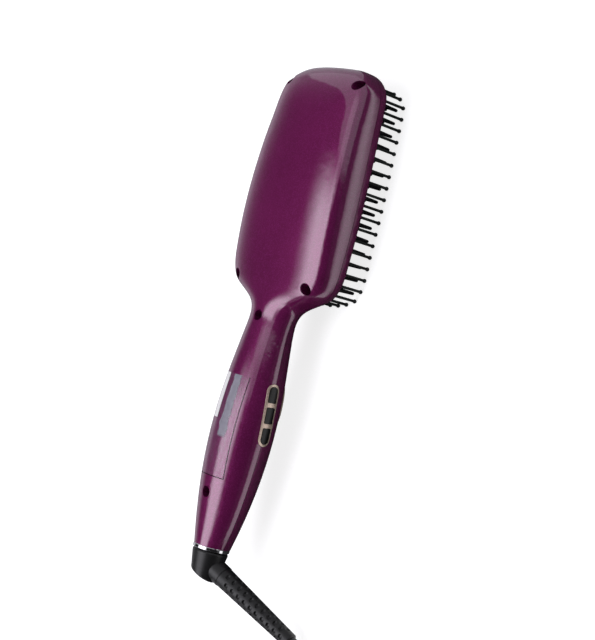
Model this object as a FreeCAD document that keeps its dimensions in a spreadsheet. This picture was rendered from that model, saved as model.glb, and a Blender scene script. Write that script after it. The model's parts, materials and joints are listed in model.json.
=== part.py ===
import FreeCAD, Part
import math
import os

import Sketcher

# Electric heated straightening brush with a mains cord on a swivelling elbow.
#
# Row frame, millimetres: +X across the brush, out of the side with the buttons; +Y along it, from the
# cord to the head; +Z up. The brush lies bristles down, so the ball tips stand on Z = 0. The brush
# itself is drawn about the handle's axis with Y = 0 at the neck screw, and then set down in the row.

PARTS_FOLDER = "parts"
doc = FreeCAD.newDocument("StraighteningBrush")
sheet = doc.addObject("Spreadsheet::Sheet", "Sizes")


# ---------------------------------------------------------------- sizes

class Size:
    """A length or angle: its number, and the sheet expression that gives it."""

    def __init__(self, number, text):
        self.number = float(number)
        self.text = text

    def __float__(self):
        return self.number

    def __add__(self, other):
        return Size(self.number + float(other), f"({self.text} + {text_of(other)})")

    def __sub__(self, other):
        return Size(self.number - float(other), f"({self.text} - {text_of(other)})")

    def __mul__(self, other):
        return Size(self.number * float(other), f"({self.text} * {text_of(other)})")

    def __truediv__(self, other):
        return Size(self.number / float(other), f"({self.text} / {text_of(other)})")

    def __neg__(self):
        return Size(-self.number, f"(0 - {self.text})")


def text_of(value):
    return value.text if isinstance(value, Size) else repr(float(value))


SIZES = (
    ("axis_height", 29.0, "handle axis above the table, so the ball tips touch it"),
    ("neck_place", 2.9, "row Y of the neck screw"),
    ("wall", 2.2, "wall of both shells"),
    ("seam", 0.3, "shadow line between the two shells"),
    ("seam_depth", 0.8, "depth of that line"),
    ("fit", 0.15, "clearance round trim, plate and frame"),
    ("snug", 0.02, "clearance of parts that sit against each other on curved faces"),
    # outline of the handle, from its end to the neck
    ("end_place", -131.2, "handle end, from the neck screw"),
    ("end_radius", 10.2, "round end of the handle"),
    ("taper_place", -115.4, "lower taper"),
    ("taper_half_width", 14.1, ""),
    ("taper_half_depth", 12.4, ""),
    ("palm_place", -97.5, "where the heel of the hand lies"),
    ("palm_half_width", 16.8, ""),
    ("palm_half_depth", 14.7, ""),
    ("grip_place", -68.0, "thickest point of the grip"),
    ("grip_half_width", 18.7, ""),
    ("grip_half_depth", 16.5, ""),
    ("thumb_place", -42.0, "upper grip"),
    ("thumb_half_width", 18.1, ""),
    ("thumb_half_depth", 15.6, ""),
    ("wrist_place", -19.5, "waist below the neck"),
    ("wrist_half_width", 16.3, ""),
    ("wrist_half_depth", 13.2, ""),
    ("neck_half_width", 15.1, "narrowest section, just below the neck screw"),
    ("neck_half_depth", 10.5, ""),
    ("handle_seam", -0.6, "parting line of the handle, from its axis"),
    ("handle_squareness", 0.1, "0 is an ellipse, 1 a rounded box"),
    # outline of the head
    ("cheek_place", 12.1, "where the neck widens into the head"),
    ("cheek_run", 5.9, "how gently it widens"),
    ("head_low_place", 14.0, "lower end of the head's sides"),
    ("head_low_half_width", 39.2, ""),
    ("head_low_back", 10.4, ""),
    ("head_belly_place", 68.0, "widest point of the head"),
    ("head_belly_half_width", 40.3, ""),
    ("head_belly_back", 15.2, ""),
    ("head_brow_place", 112.0, "upper head"),
    ("head_brow_half_width", 37.6, ""),
    ("head_brow_back", 14.3, ""),
    ("head_tip_place", 145.3, "top end of the head"),
    ("head_tip_half_width", 35.2, "sides of the head carried on to its tip"),
    ("head_tip_back", 10.6, ""),
    ("head_front", 10.7, "rim plane below the axis"),
    ("head_seam", -5.0, "parting line of the head, from the axis"),
    ("head_crown", 2.2, "rise of the back between its shoulders"),
    ("shoulder_radius", 10.0, "rounding along the back's sides"),
    ("rim_radius", 2.6, "rounding along the front rim"),
    ("tip_corner_across", 21.5, "corner of the tip, across the head"),
    ("tip_corner_along", 16.5, "corner of the tip, along the head"),
    ("tip_drop", 12.0, "how far the back falls to the tip"),
    ("base_place", 10.0, "lower edge of the head's front"),
    ("base_corner_across", 31.0, "lower corner of the front, across"),
    ("base_corner_along", 15.0, "lower corner of the front, along"),
    # heating field
    ("rim_width", 3.6, "front rim round the opening"),
    ("frame_proud", 0.5, "frame front behind the rim plane"),
    ("frame_flange", 1.9, "thickness of the frame's flange behind the rim"),
    ("frame_grip", 1.6, "how far that flange reaches behind the rim"),
    ("frame_width", 3.8, "width of the frame's face"),
    ("plate_sink", 0.8, "plate front behind the rim plane"),
    ("plate_flange", 1.7, "flange of the heating plate"),
    ("plate_grip", 2.0, "how far that flange reaches behind the frame"),
    ("bristle_pitch", 6.6, "spacing of the ball bristles round the frame"),
    ("bristle_base_radius", 0.9, ""),
    ("bristle_radius", 0.65, ""),
    ("ball_radius", 1.05, ""),
    ("tooth_row_pitch", 7.5, "rows of heated teeth along the head"),
    ("tooth_first_row", 24.9, "first row, from the neck screw"),
    ("tooth_inset", 4.3, "outer teeth inside the ball bristles"),
    ("tooth_base_radius", 1.5, ""),
    ("tooth_tip_radius", 0.9, ""),
    ("tooth_short", 1.4, "teeth end above the ball tips"),
    ("heater_thick", 2.7, ""),
    ("heater_width", 15.0, ""),
    ("heater_length", 84.0, ""),
    ("heater_spread", 13.0, "heater centres from the middle"),
    ("heater_place", 78.0, "middle of the heaters"),
    ("clamp_thick", 0.8, ""),
    ("clamp_length", 70.0, ""),
    ("clamp_foot", 4.0, ""),
    ("clamp_side_gap", 0.3, "between the heaters and the clamp's sides"),
    ("mica_thick", 0.8, "insulation board"),
    ("mica_margin", 13.0, "its edge inside the head's outline"),
    ("rib_radius", 3.0, "posts of the back shell that press on it"),
    ("rib_spread_along", 34.0, ""),
    ("fuse_radius", 1.35, ""),
    ("fuse_length", 12.0, ""),
    ("sensor_width", 3.4, ""),
    ("sensor_length", 9.0, ""),
    ("sensor_spread", 18.0, "fuse and sensor, either way from the heaters' middle"),
    # case screws
    ("recess_radius", 3.15, "screw recesses in the back"),
    ("boss_wall", 1.2, ""),
    ("boss_floor", 1.6, "web under each screw head"),
    ("post_radius", 2.9, "posts in the front shell"),
    ("screw_head_radius", 2.5, ""),
    ("screw_head_height", 1.6, ""),
    ("screw_radius", 1.25, ""),
    ("screw_grip", 4.0, "length of thread in the post"),
    ("tip_screw_across", 28.8, ""),
    ("tip_screw_inset", 10.8, "from the tip"),
    ("base_screw_across", 30.4, ""),
    ("base_screw_place", 20.0, ""),
    ("handle_screw_place", -101.7, ""),
    # button panel on the +X side
    ("panel_place", -52.2, "middle of the panel, from the neck screw"),
    ("panel_rise", -0.4, "middle of the panel, from the axis"),
    ("panel_tilt", 3.5, "degrees, along the parting line"),
    ("panel_length", 34.9, ""),
    ("panel_width", 8.0, ""),
    ("panel_proud", 0.4, ""),
    ("panel_ledge", 1.2, "flange of the panel behind the wall"),
    ("panel_rim", 1.2, "rim of the panel round its windows"),
    ("window_bar", 2.4, "bars between the windows"),
    ("window_corner", 0.7, ""),
    ("button_clearance", 0.12, ""),
    ("button_proud", 0.8, ""),
    ("button_flange", 1.0, ""),
    ("button_flange_edge", 0.7, "how far it reaches under the panel"),
    ("button_travel", 0.6, ""),
    ("switch_gap", 0.15, "left between button and switch when pressed"),
    ("switch_side", 6.0, ""),
    ("switch_height", 3.4, ""),
    ("actuator_radius", 1.6, ""),
    ("actuator_height", 0.8, ""),
    ("button_board_width", 12.0, ""),
    ("button_board_length", 37.0, ""),
    ("board_thick", 1.2, "all circuit boards"),
    # display on the front of the handle
    ("display_place", -45.5, ""),
    ("display_length", 31.0, ""),
    ("display_width", 26.0, ""),
    ("display_rim", 1.6, ""),
    ("display_proud", 0.7, ""),
    ("lens_thick", 1.6, ""),
    ("module_thick", 2.4, ""),
    ("module_length", 20.0, ""),
    ("module_width", 15.0, ""),
    ("lens_sink", 0.35, "lens below the handle's skin"),
    ("header_height", 2.2, "pin header between display and board"),
    ("control_board_length", 62.0, ""),
    ("control_board_width", 11.0, ""),
    ("control_board_place", -62.0, ""),
    ("stand_radius", 1.6, "stands under the control board"),
    ("rib_thick", 1.6, "ribs under the button board"),
    ("rib_overhang", 0.5, "how far they pass its face"),
    ("transformer_height", 6.0, "tallest part on the control board"),
    ("transformer_length", 12.0, ""),
    ("relay_height", 4.4, ""),
    ("relay_length", 9.0, ""),
    # rating film on the back of the handle
    ("film_top", -34.5, ""),
    ("film_length", 58.0, ""),
    ("film_half_width", 10.2, ""),
    ("film_thick", 0.15, ""),
    # swivel
    ("ring_height", 2.0, "chrome ring at the handle's end"),
    ("ring_bead", 0.25, "rounding of the ring"),
    ("swivel_gap", 0.3, "between ring and elbow"),
    ("journal_radius", 5.0, ""),
    ("running_clearance", 0.05, "journal in its socket, radial"),
    ("socket_length", 14.0, ""),
    ("socket_flange", 3.0, ""),
    ("socket_wall", 2.2, ""),
    ("clip_radius", 5.9, "retaining clip behind the socket"),
    ("clip_thick", 0.8, ""),
    ("clip_play", 0.15, ""),
    ("clip_groove", 0.8, "depth of its groove in the journal"),
    ("clip_land", 0.65, "journal beyond the clip"),
    ("slip_core_radius", 3.2, "stem that carries the slip rings"),
    ("slip_ring_wall", 0.8, ""),
    ("slip_ring_length", 2.4, ""),
    ("slip_pitch", 3.8, ""),
    ("slip_start", 0.6, "from the journal's end to the first slip ring"),
    ("contact_gap", 0.1, "between slip ring and contact blade"),
    ("contact_thick", 0.5, ""),
    ("contact_width", 2.0, ""),
    ("contact_half_height", 3.0, ""),
    ("contact_reach", 1.7, "from the blade to its carrier"),
    ("carrier_thick", 2.0, "carrier of the contact blades"),
    ("elbow_radius", 10.4, ""),
    ("elbow_drop", 6.8, "from the elbow's face to the crossing of its two axes"),
    ("elbow_taper", 10.0, "degrees that its side leans in, away from the ring"),
    ("elbow_round", 1.4, ""),
    ("elbow_under", 1.4, "elbow's body outside the boot's line"),
    ("branch_radius", 6.2, "neck of the elbow that carries the boot"),
    ("bend_angle", 68.0, "degrees between the handle's axis and the boot"),
    ("bend_roll", 19.0, "degrees that the boot dips below the side"),
    ("neck_out", 13.5, "where the boot starts, from that crossing"),
    ("boot_root_radius", 5.9, ""),
    ("boot_end_radius", 4.3, ""),
    ("boot_length", 55.0, ""),
    ("boot_collar", 3.5, "plain collar at the boot's root"),
    ("notch_pitch", 2.38, "rows of notches along the boot"),
    ("notch_length", 1.9, "along the boot"),
    ("notch_width", 2.6, "round the boot"),
    ("notch_depth", 1.0, ""),
    ("cord_radius", 3.25, ""),
    # coil of the cord
    ("coil_turns_across", 4.0, "turns side by side in the lower layer, with one fewer above"),
    ("coil_mean_radius", 39.0, ""),
    ("tie_width", 9.0, ""),
    ("tie_wall", 1.2, ""),
    # mains plug
    ("plug_width", 35.3, ""),
    ("plug_thick", 13.7, ""),
    ("plug_length", 34.0, ""),
    ("plug_nose", 12.0, "parallel front of the plug"),
    ("plug_heel_width", 15.0, "back of the plug"),
    ("plug_corner", 2.5, ""),
    ("plug_edge", 1.6, ""),
    ("plug_tail_length", 16.0, ""),
    ("plug_tail_radius", 5.2, ""),
    ("plug_tail_end_radius", 4.4, ""),
    ("pin_radius", 2.0, ""),
    ("pin_length", 19.0, ""),
    ("pin_spacing", 18.6, ""),
    ("sleeve_length", 10.0, ""),
    ("pin_core_radius", 1.3, "pin inside its sleeve"),
    ("pin_tip", 1.2, "rounding of the pin tips"),
    ("pin_root", 6.0, "pin held inside the plug"),
)

for row_number, (alias, value, note) in enumerate(SIZES, start=1):
    sheet.set(f"A{row_number}", note)
    sheet.set(f"B{row_number}", str(value))
    sheet.setAlias(f"B{row_number}", alias)
doc.recompute()

s = {alias: Size(sheet.get(alias), f"Sizes.{alias}") for alias, value, note in SIZES}
n = {alias: float(size) for alias, size in s.items()}


def bind(thing, field, value):
    """Set one property of an object and tie it to the sheet."""
    thing.setExpression(field, text_of(value))


def place(thing, x, y, z):
    """Tie an object's place to the sheet, measured from the brush's own zero."""
    bind(thing, "Placement.Base.x", x)
    bind(thing, "Placement.Base.y", s["neck_place"] + y)
    bind(thing, "Placement.Base.z", s["axis_height"] + z)


def vector(x, y, z):
    return FreeCAD.Vector(float(x), float(y), float(z))


X_AXIS = vector(1, 0, 0)
Y_AXIS = vector(0, 1, 0)
Z_AXIS = vector(0, 0, 1)
BRUSH_PLACE = vector(0, n["neck_place"], n["axis_height"])


def feature(name, shape, base=BRUSH_PLACE):
    """A piece whose form neither sketches nor primitives give."""
    piece = doc.addObject("Part::Feature", name)
    piece.Shape = shape
    piece.Placement = FreeCAD.Placement(base, FreeCAD.Rotation()) * shape.Placement
    return piece


# ---------------------------------------------------------------- sketch helpers

def origin_plane(body, role):
    return next(item for item in body.Origin.OriginFeatures if item.Role == role)


def outline_sketch(body, name, role, corners):
    """A closed polygon whose corners are each tied to the sheet, on one of the body's planes."""
    sketch = body.newObject("Sketcher::SketchObject", name)
    sketch.AttachmentSupport = [(origin_plane(body, role), "")]
    sketch.MapMode = "FlatFace"
    points = [vector(across, along, 0) for across, along in corners]
    for index, start in enumerate(points):
        sketch.addGeometry(Part.LineSegment(start, points[(index + 1) % len(points)]))
    for index in range(len(points)):
        sketch.addConstraint(Sketcher.Constraint("Coincident", index, 2, (index + 1) % len(points), 1))
    for index, corner in enumerate(corners):
        for kind, distance in zip(("DistanceX", "DistanceY"), corner):
            rule = Sketcher.Constraint(kind, -1, 1, index, 1, float(distance))
            number = sketch.addConstraint(rule)
            if isinstance(distance, Size):
                sketch.setExpression(f"Constraints[{number}]", distance.text)
    return sketch


def turned_body(name, corners):
    """A body of revolution about its own Z axis; corners are (radius, height)."""
    body = doc.addObject("PartDesign::Body", name)
    sketch = outline_sketch(body, f"{name}_profile", "XZ_Plane", corners)
    turn = body.newObject("PartDesign::Revolution", f"{name}_turn")
    turn.Profile = sketch
    turn.ReferenceAxis = (sketch, ["V_Axis"])
    turn.Angle = 360
    body.Tip = turn
    return body


def padded_body(name, corners, height, role="XY_Plane"):
    """A body padded from a polygon on one of its planes."""
    body = doc.addObject("PartDesign::Body", name)
    sketch = outline_sketch(body, f"{name}_profile", role, corners)
    pad = body.newObject("PartDesign::Pad", f"{name}_pad")
    pad.Profile = sketch
    bind(pad, "Length", height)
    body.Tip = pad
    return body


def block(name, width, length, height):
    """A rectangular body, centred in X and Y on its own zero."""
    half = width / 2
    reach = length / 2
    return padded_body(name, ((-half, -reach), (half, -reach), (half, reach), (-half, reach)), height)


# ---------------------------------------------------------------- form of the shells

HANDLE_STATIONS = ("end", "taper", "palm", "grip", "thumb", "wrist")
HEAD_STATIONS = ("head_low", "head_belly", "head_brow", "head_tip")


def fair_curve(places, values):
    """A fair curve through the stations, read off at any place along the brush."""
    curve = Part.BSplineCurve()
    points = [vector(along, value, 0) for along, value in zip(places, values)]
    curve.interpolate(Points=points, Parameters=places)
    return lambda along: curve.value(min(max(along, places[0]), places[-1])).y


handle_places = [n[f"{name}_place"] for name in HANDLE_STATIONS] + [0.0]
handle_width_at = fair_curve(
    handle_places,
    [n["end_radius"]] + [n[f"{name}_half_width"] for name in HANDLE_STATIONS[1:] + ("neck",)],
)
handle_depth_at = fair_curve(
    handle_places,
    [n["end_radius"]] + [n[f"{name}_half_depth"] for name in HANDLE_STATIONS[1:] + ("neck",)],
)
head_places = [n[f"{name}_place"] for name in HEAD_STATIONS]
head_width_at = fair_curve(head_places, [n[f"{name}_half_width"] for name in HEAD_STATIONS])
head_back_at = fair_curve(head_places, [n[f"{name}_back"] for name in HEAD_STATIONS])


def swell(along, centre, run):
    """0 in the handle, 1 in the head, rising smoothly about a centre."""
    return 0.5 * (1.0 + math.tanh((along - centre) / run))


def mix(low, high, share):
    return low + (high - low) * share


def tip_share(along):
    """Sine of the corner's angle at a place near the tip: 0 where the corner starts, 1 at the tip."""
    start = n["head_tip_place"] - n["tip_corner_along"]
    return min(max((along - start) / n["tip_corner_along"], 0.0), 1.0)


def half_width(along):
    widening = swell(along, n["cheek_place"], n["cheek_run"])
    rounding = 1.0 - math.sqrt(1.0 - tip_share(along) ** 2)
    side = head_width_at(along) - n["tip_corner_across"] * rounding
    return mix(handle_width_at(along), side, widening)


def back_height(along):
    rounding = 1.0 - math.sqrt(1.0 - tip_share(along) ** 2)
    back = head_back_at(along) - n["tip_drop"] * rounding
    return mix(handle_depth_at(along), back, swell(along, n["cheek_place"] - 4.0, 2.0 * n["cheek_run"]))


def front_depth(along):
    share = swell(along, n["cheek_place"] - 4.0, 1.5 * n["cheek_run"])
    return mix(handle_depth_at(along), n["head_front"], share)


def seam_height(along):
    return mix(n["handle_seam"], n["head_seam"], swell(along, n["cheek_place"] - 6.0, 2.5 * n["cheek_run"]))


def squareness(along):
    return mix(n["handle_squareness"], 1.0, swell(along, n["cheek_place"], 1.6 * n["cheek_run"]))


EIGHTH = 4.0 / 3.0 * math.tan(math.pi / 16.0)
DIAGONAL = math.sqrt(0.5)
ROUND_POLES = (
    (1.0, 0.0),
    (1.0, EIGHTH),
    (DIAGONAL * (1.0 + EIGHTH), DIAGONAL * (1.0 - EIGHTH)),
    (DIAGONAL, DIAGONAL),
    (DIAGONAL * (1.0 - EIGHTH), DIAGONAL * (1.0 + EIGHTH)),
    (EIGHTH, 1.0),
    (0.0, 1.0),
)


def quarter_poles(width, height, square, radius, crown):
    """Seven poles of two joined cubic arcs, from the side (width, 0) to the middle (0, height)."""
    radius = min(radius, 0.85 * (height - crown), 0.6 * width)
    corner = height - crown
    near = (2.0 - math.sqrt(2.0)) * radius
    middle = (1.0 - DIAGONAL) * radius
    box_poles = (
        (width, 0.0),
        (width, 0.5 * (corner - near)),
        (width, corner - near),
        (width - middle, corner - middle),
        (width - near, corner),
        (0.5 * width, height),
        (0.0, height),
    )
    poles = []
    for box_pole, round_pole in zip(box_poles, ROUND_POLES):
        across = mix(width * round_pole[0], box_pole[0], square)
        up = mix(height * round_pole[1], box_pole[1], square)
        poles.append((across, up))
    return poles


def station(along, inset):
    """Place and sizes of the section that lies `inset` inside the outer skin near a place."""
    step = 0.05
    slope = (half_width(along + step) - half_width(along - step)) / (2.0 * step)
    if tip_share(along) > 0.0:
        slope = 0.0
    lean = math.sqrt(1.0 + slope * slope)
    return {
        "along": along + inset * slope / lean,
        "width": half_width(along) - inset / lean,
        "back": back_height(along) - inset,
        "front": front_depth(along) - inset,
        "seat": seam_height(along),
        "square": squareness(along),
    }


def tip_stations(inset):
    """Sections round the tip's corners, evenly spaced in angle."""
    found = []
    corner_along = n["tip_corner_along"] - inset
    start = n["head_tip_place"] - n["tip_corner_along"]
    for step in range(1, TIP_STEPS + 1):
        angle = 0.5 * math.pi * step / TIP_STEPS
        outer = start + n["tip_corner_along"] * math.sin(angle)
        share = 1.0 - math.cos(angle)
        found.append({
            "along": start + corner_along * math.sin(angle),
            "width": head_width_at(outer) - inset - (n["tip_corner_across"] - inset) * share,
            "back": head_back_at(outer) - inset - (n["tip_drop"] - inset) * share,
            "front": n["head_front"] - inset,
            "seat": seam_height(outer),
            "square": 1.0,
        })
    return found


TIP_STEPS = 6
GRIP_STEPS = 8
HEAD_STEPS = 7
CHEEK_SHARES = (-2.2, -1.1, -0.4, 0.4, 1.1, 2.2)


def evenly(first, last, count):
    return [first + (last - first) * step / count for step in range(count + 1)]


def places_along():
    """Where sections are drawn: along the handle, closely through the cheeks, along the head."""
    cheek = [n["cheek_place"] + share * n["cheek_run"] for share in CHEEK_SHARES]
    handle = evenly(n["end_place"], n["wrist_place"] + 8.0, GRIP_STEPS)
    head_start = cheek[-1] + 2.0 * n["cheek_run"]
    head = evenly(head_start, n["head_tip_place"] - n["tip_corner_along"], HEAD_STEPS)
    return handle + [-2.0] + cheek + head


def sections(inset, low=None, high=None):
    """Stations of the skin that lies `inset` inside the outer one, within a stretch of the brush."""
    found = [station(along, inset) for along in places_along()] + tip_stations(inset)
    if low is not None:
        inside = [item for item in found if low < item["along"] < high]
        found = [station(low, inset)] + inside + [station(high, inset)]
    return found


def half_strips(item, low):
    """The four arcs of one half section as lists of four poles, from the +X side to the -X side."""
    if low:
        crest, radius, crown = -item["front"], n["rim_radius"], 0.0
    else:
        crest, radius, crown = item["back"], n["shoulder_radius"], n["head_crown"] * item["square"]
    seat = item["seat"]
    up = -1.0 if low else 1.0
    flat = quarter_poles(item["width"], abs(crest - seat), item["square"], radius, crown)
    right = [vector(across, item["along"], seat + up * rise) for across, rise in flat]
    left = [vector(-across, item["along"], seat + up * rise) for across, rise in reversed(flat)]
    return [right[:4], right[3:], left[:4], left[3:]]


def seat_strip(item):
    """Straight line across the section at the parting line."""
    width, along, seat = item["width"], item["along"], item["seat"]
    return [vector(width, along, seat), vector(-width, along, seat)]


def faired(columns, steps):
    """Surface through rows of poles: Bezier across, an interpolating cubic along the brush."""
    poles = []
    for column in columns:
        curve = Part.BSplineCurve()
        curve.interpolate(Points=column, Parameters=steps)
        poles.append(curve.getPoles())
    across = len(columns) - 1
    surface = Part.BSplineSurface()
    surface.buildFromPolesMultsKnots(
        poles,
        [across + 1, across + 1],
        curve.getMultiplicities(),
        [0.0, 1.0],
        curve.getKnots(),
        False,
        False,
        across,
        curve.Degree,
    )
    return surface.toShape()


def cap(strips):
    """Flat end of the skin, bounded by the arcs of its first or last section."""
    edges = []
    for strip in strips:
        if len(strip) == 2:
            edges.append(Part.makeLine(strip[0], strip[1]))
        else:
            curve = Part.BezierCurve()
            curve.setPoles(strip)
            edges.append(curve.toShape())
    return Part.Face(Part.Wire(Part.__sortEdges__(edges)))


def outline_steps(items):
    """Spacing of the sections along the outline, the same for every skin."""
    steps = [0.0]
    for before, after in zip(items, items[1:]):
        run = after["along"] - before["along"]
        rise = after["width"] - before["width"]
        steps.append(steps[-1] + math.hypot(run, rise))
    return steps


def solid_through(rows, steps):
    """Closed solid through sections that are each a ring of strips."""
    faces = [cap(rows[0]), cap(rows[-1])]
    for index in range(len(rows[0])):
        count = len(rows[0][index])
        columns = [[row[index][pole] for row in rows] for pole in range(count)]
        faces.append(faired(columns, steps))
    shell = Part.Shell(faces)
    shell.sewShape()
    return Part.Solid(shell)


def skin(inset, low=True, high=True, stretch=None):
    """Solid bounded by the skin `inset` inside the outer one."""
    items = sections(inset) if stretch is None else sections(inset, stretch[0], stretch[1])
    rows = []
    for item in items:
        strips = half_strips(item, False) if high else []
        strips += half_strips(item, True) if low else []
        if not (low and high):
            strips.append(seat_strip(item))
        rows.append(strips)
    return solid_through(rows, outline_steps(items))


def hollow(inset, low):
    """Space inside one shell, with flat sides that run on past the parting line."""
    items = sections(inset)
    rows = []
    for item in items:
        strips = [[strip[0], strip[-1]] for strip in half_strips(item, low)]
        right, left = strips[0], strips[-1]
        right[0] = right[0] + (right[0] - right[1]) * 0.3
        left[1] = left[1] + (left[1] - left[0]) * 0.3
        strips.append([left[1], right[0]])
        rows.append(strips)
    return solid_through(rows, outline_steps(items))


def field_half(inset, level):
    """Right half of the head's front outline, set in from the sides, from its base to its tip."""
    low = n["base_place"] + inset
    high = n["head_tip_place"] - inset
    base_across = n["base_corner_across"] - inset
    base_along = n["base_corner_along"] - inset
    tip_across = n["tip_corner_across"] - inset
    tip_along = n["tip_corner_along"] - inset
    right = []
    for angle in evenly(0.0, 0.5 * math.pi, 5):
        along = low + base_along * (1.0 - math.cos(angle))
        side = head_width_at(n["base_place"] + n["base_corner_along"]) - inset
        right.append(vector(side - base_across * (1.0 - math.sin(angle)), along, level))
    for along in evenly(low + base_along, high - tip_along, 5)[1:-1]:
        right.append(vector(head_width_at(along) - inset, along, level))
    for angle in evenly(0.0, 0.5 * math.pi, 5):
        along = high - tip_along * (1.0 - math.sin(angle))
        side = head_width_at(n["head_tip_place"] - n["tip_corner_along"]) - inset
        right.append(vector(side - tip_across * (1.0 - math.cos(angle)), along, level))
    curve = Part.BSplineCurve()
    curve.interpolate(right)
    start, end = vector(0, low, level), vector(0, high, level)
    edges = [Part.makeLine(start, right[0]), curve.toShape(), Part.makeLine(right[-1], end)]
    return Part.Wire(edges)


def field_outline(inset, level):
    """Closed outline of the head's front; it lies in the plane z = level."""
    half = field_half(inset, level)
    other = half.mirror(vector(0, 0, 0), X_AXIS)
    return Part.Wire(Part.__sortEdges__(half.Edges + other.Edges))


def field_slab(inset, low, high):
    """Plate of that outline between two heights."""
    return Part.Face(field_outline(inset, low)).extrude(vector(0, 0, high - low))


# Levels of the heating field, from the axis.
rim_level = -n["head_front"]
frame_front = rim_level + n["frame_proud"]
frame_seat = rim_level + n["wall"]
frame_back = frame_seat + n["frame_flange"]
plate_front = rim_level + n["plate_sink"]
plate_back = frame_back + n["plate_flange"]
heater_back = plate_back + n["heater_thick"]
clamp_back = heater_back + n["clamp_thick"]
mica_back = clamp_back + n["mica_thick"]
opening_inset = n["rim_width"]
frame_inner_inset = n["rim_width"] + n["fit"] + n["frame_width"]
bristle_inset = n["rim_width"] + n["fit"] + 0.5 * n["frame_width"]
tooth_line_inset = bristle_inset + n["tooth_inset"]


# ---------------------------------------------------------------- case screws and their bosses

def upright(radius, across, along, low, high):
    return Part.makeCylinder(radius, high - low, vector(across, along, low), Z_AXIS)


def crossbox(across, along, level, width, length, height):
    """Box centred over a point, standing on a level."""
    corner = vector(across - 0.5 * width, along - 0.5 * length, level)
    return Part.makeBox(width, length, height, corner)


ABOVE = 40.0
tip_screw_place = n["head_tip_place"] - n["tip_screw_inset"]
CORNER_SCREWS = [
    (side * across, along, seam_height(along))
    for across, along in (
        (n["tip_screw_across"], tip_screw_place),
        (n["base_screw_across"], n["base_screw_place"]),
    )
    for side in (-1, 1)
]
HANDLE_SCREWS = [(0.0, 0.0, 0.0), (0.0, n["handle_screw_place"], 0.0)]
SCREWS = CORNER_SCREWS + HANDLE_SCREWS


def screw_bosses():
    """Tubes round the screw recesses, standing down from the back shell's skin."""
    outer = n["recess_radius"] + n["boss_wall"]
    columns = [upright(outer, across, along, floor, ABOVE) for across, along, floor in SCREWS]
    return [column.common(upper_skin) for column in columns]


def screw_recesses():
    cuts = []
    for across, along, floor in SCREWS:
        seat = floor + n["boss_floor"]
        cuts.append(upright(n["recess_radius"], across, along, seat, ABOVE))
        cuts.append(upright(n["screw_radius"] + n["fit"], across, along, floor - 2.0, seat))
    return cuts


def screw_posts():
    """Posts of the front shell's handle, from inside its wall up to the bosses."""
    posts = []
    for across, along, floor in HANDLE_SCREWS:
        bottom = 0.5 * n["wall"] - front_depth(along)
        posts.append(upright(n["post_radius"], across, along, bottom, floor))
    return posts


def corner_posts():
    """Posts of the bristle frame, from its flange up to the bosses at the head's corners."""
    top = n["head_seam"] + n["wall"]
    edge = field_slab(flange_inset, frame_seat, top)
    columns = [
        upright(n["post_radius"], across, along, frame_seat, floor)
        for across, along, floor in CORNER_SCREWS
    ]
    return [column.common(edge) for column in columns]


def post_holes(screws):
    """Holes for the screws' threads."""
    depth = n["screw_grip"] + 1.0
    radius = n["screw_radius"]
    return [upright(radius, across, along, floor - depth, floor) for across, along, floor in screws]


def post_clearances():
    """Notches that let the corner posts and the bosses over them past the plate's flange."""
    radius = n["recess_radius"] + n["boss_wall"] + n["fit"]
    low = frame_back - n["fit"]
    return [upright(radius, across, along, low, ABOVE) for across, along, floor in CORNER_SCREWS]


def case_screws():
    screws = []
    slot_wide, slot_long, slot_deep = 0.7, 3.4, 0.8
    for across, along, floor in SCREWS:
        seat = floor + n["boss_floor"]
        top = seat + n["screw_head_height"]
        head = upright(n["screw_head_radius"], across, along, seat, top)
        shank = upright(n["screw_radius"], across, along, floor - n["screw_grip"], seat)
        slots = [
            crossbox(across, along, top - slot_deep, slot_wide, slot_long, slot_deep),
            crossbox(across, along, top - slot_deep, slot_long, slot_wide, slot_deep),
        ]
        screws.append(head.fuse(shank).cut(slots))
    return Part.makeCompound(screws)


# ---------------------------------------------------------------- trim set into the shells

HANDLE_STRETCH = (n["end_place"] + 0.5, -6.0)
local_skins = {}


def handle_skin(inset):
    """Skin of the handle alone, kept so that each inset is made once."""
    if inset not in local_skins:
        local_skins[inset] = skin(inset, stretch=HANDLE_STRETCH)
    return local_skins[inset]


def stadium(length, width, low, high):
    """Round-ended prism along X, centred on the X axis."""
    run = 0.5 * (length - width)
    radius = 0.5 * width
    ends = [Part.makeCylinder(radius, high - low, vector(low, side * run, 0), X_AXIS) for side in (-1, 1)]
    middle = Part.makeBox(high - low, 2 * run, width, vector(low, -run, -radius))
    return middle.fuse(ends).removeSplitter()


def on_panel(shape):
    """Set a shape drawn about the panel's middle in its place on the handle's side."""
    moved = shape.copy()
    moved.rotate(vector(0, 0, 0), X_AXIS, n["panel_tilt"])
    moved.translate(vector(0, n["panel_place"], n["panel_rise"]))
    return moved


def oval(grow, low, high):
    """Elliptic prism through the handle's front, larger than the display's outline by `grow`."""
    centre = vector(0, n["display_place"], low)
    long_reach = 0.5 * n["display_length"] + grow
    wide_reach = 0.5 * n["display_width"] + grow
    ellipse = Part.Ellipse(centre, long_reach, wide_reach).toShape()
    ellipse.rotate(centre, Z_AXIS, 90)
    return Part.Face(Part.Wire(ellipse)).extrude(vector(0, 0, high - low))


PANEL_LOW, PANEL_HIGH = 9.0, 30.0
OVAL_LOW, OVAL_HIGH = -30.0, -5.0


def panel_prism(grow):
    """The panel's outline, grown by `grow`, as a prism through the handle's side."""
    length = n["panel_length"] + 2 * grow
    width = n["panel_width"] + 2 * grow
    return on_panel(stadium(length, width, PANEL_LOW, PANEL_HIGH))


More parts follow.
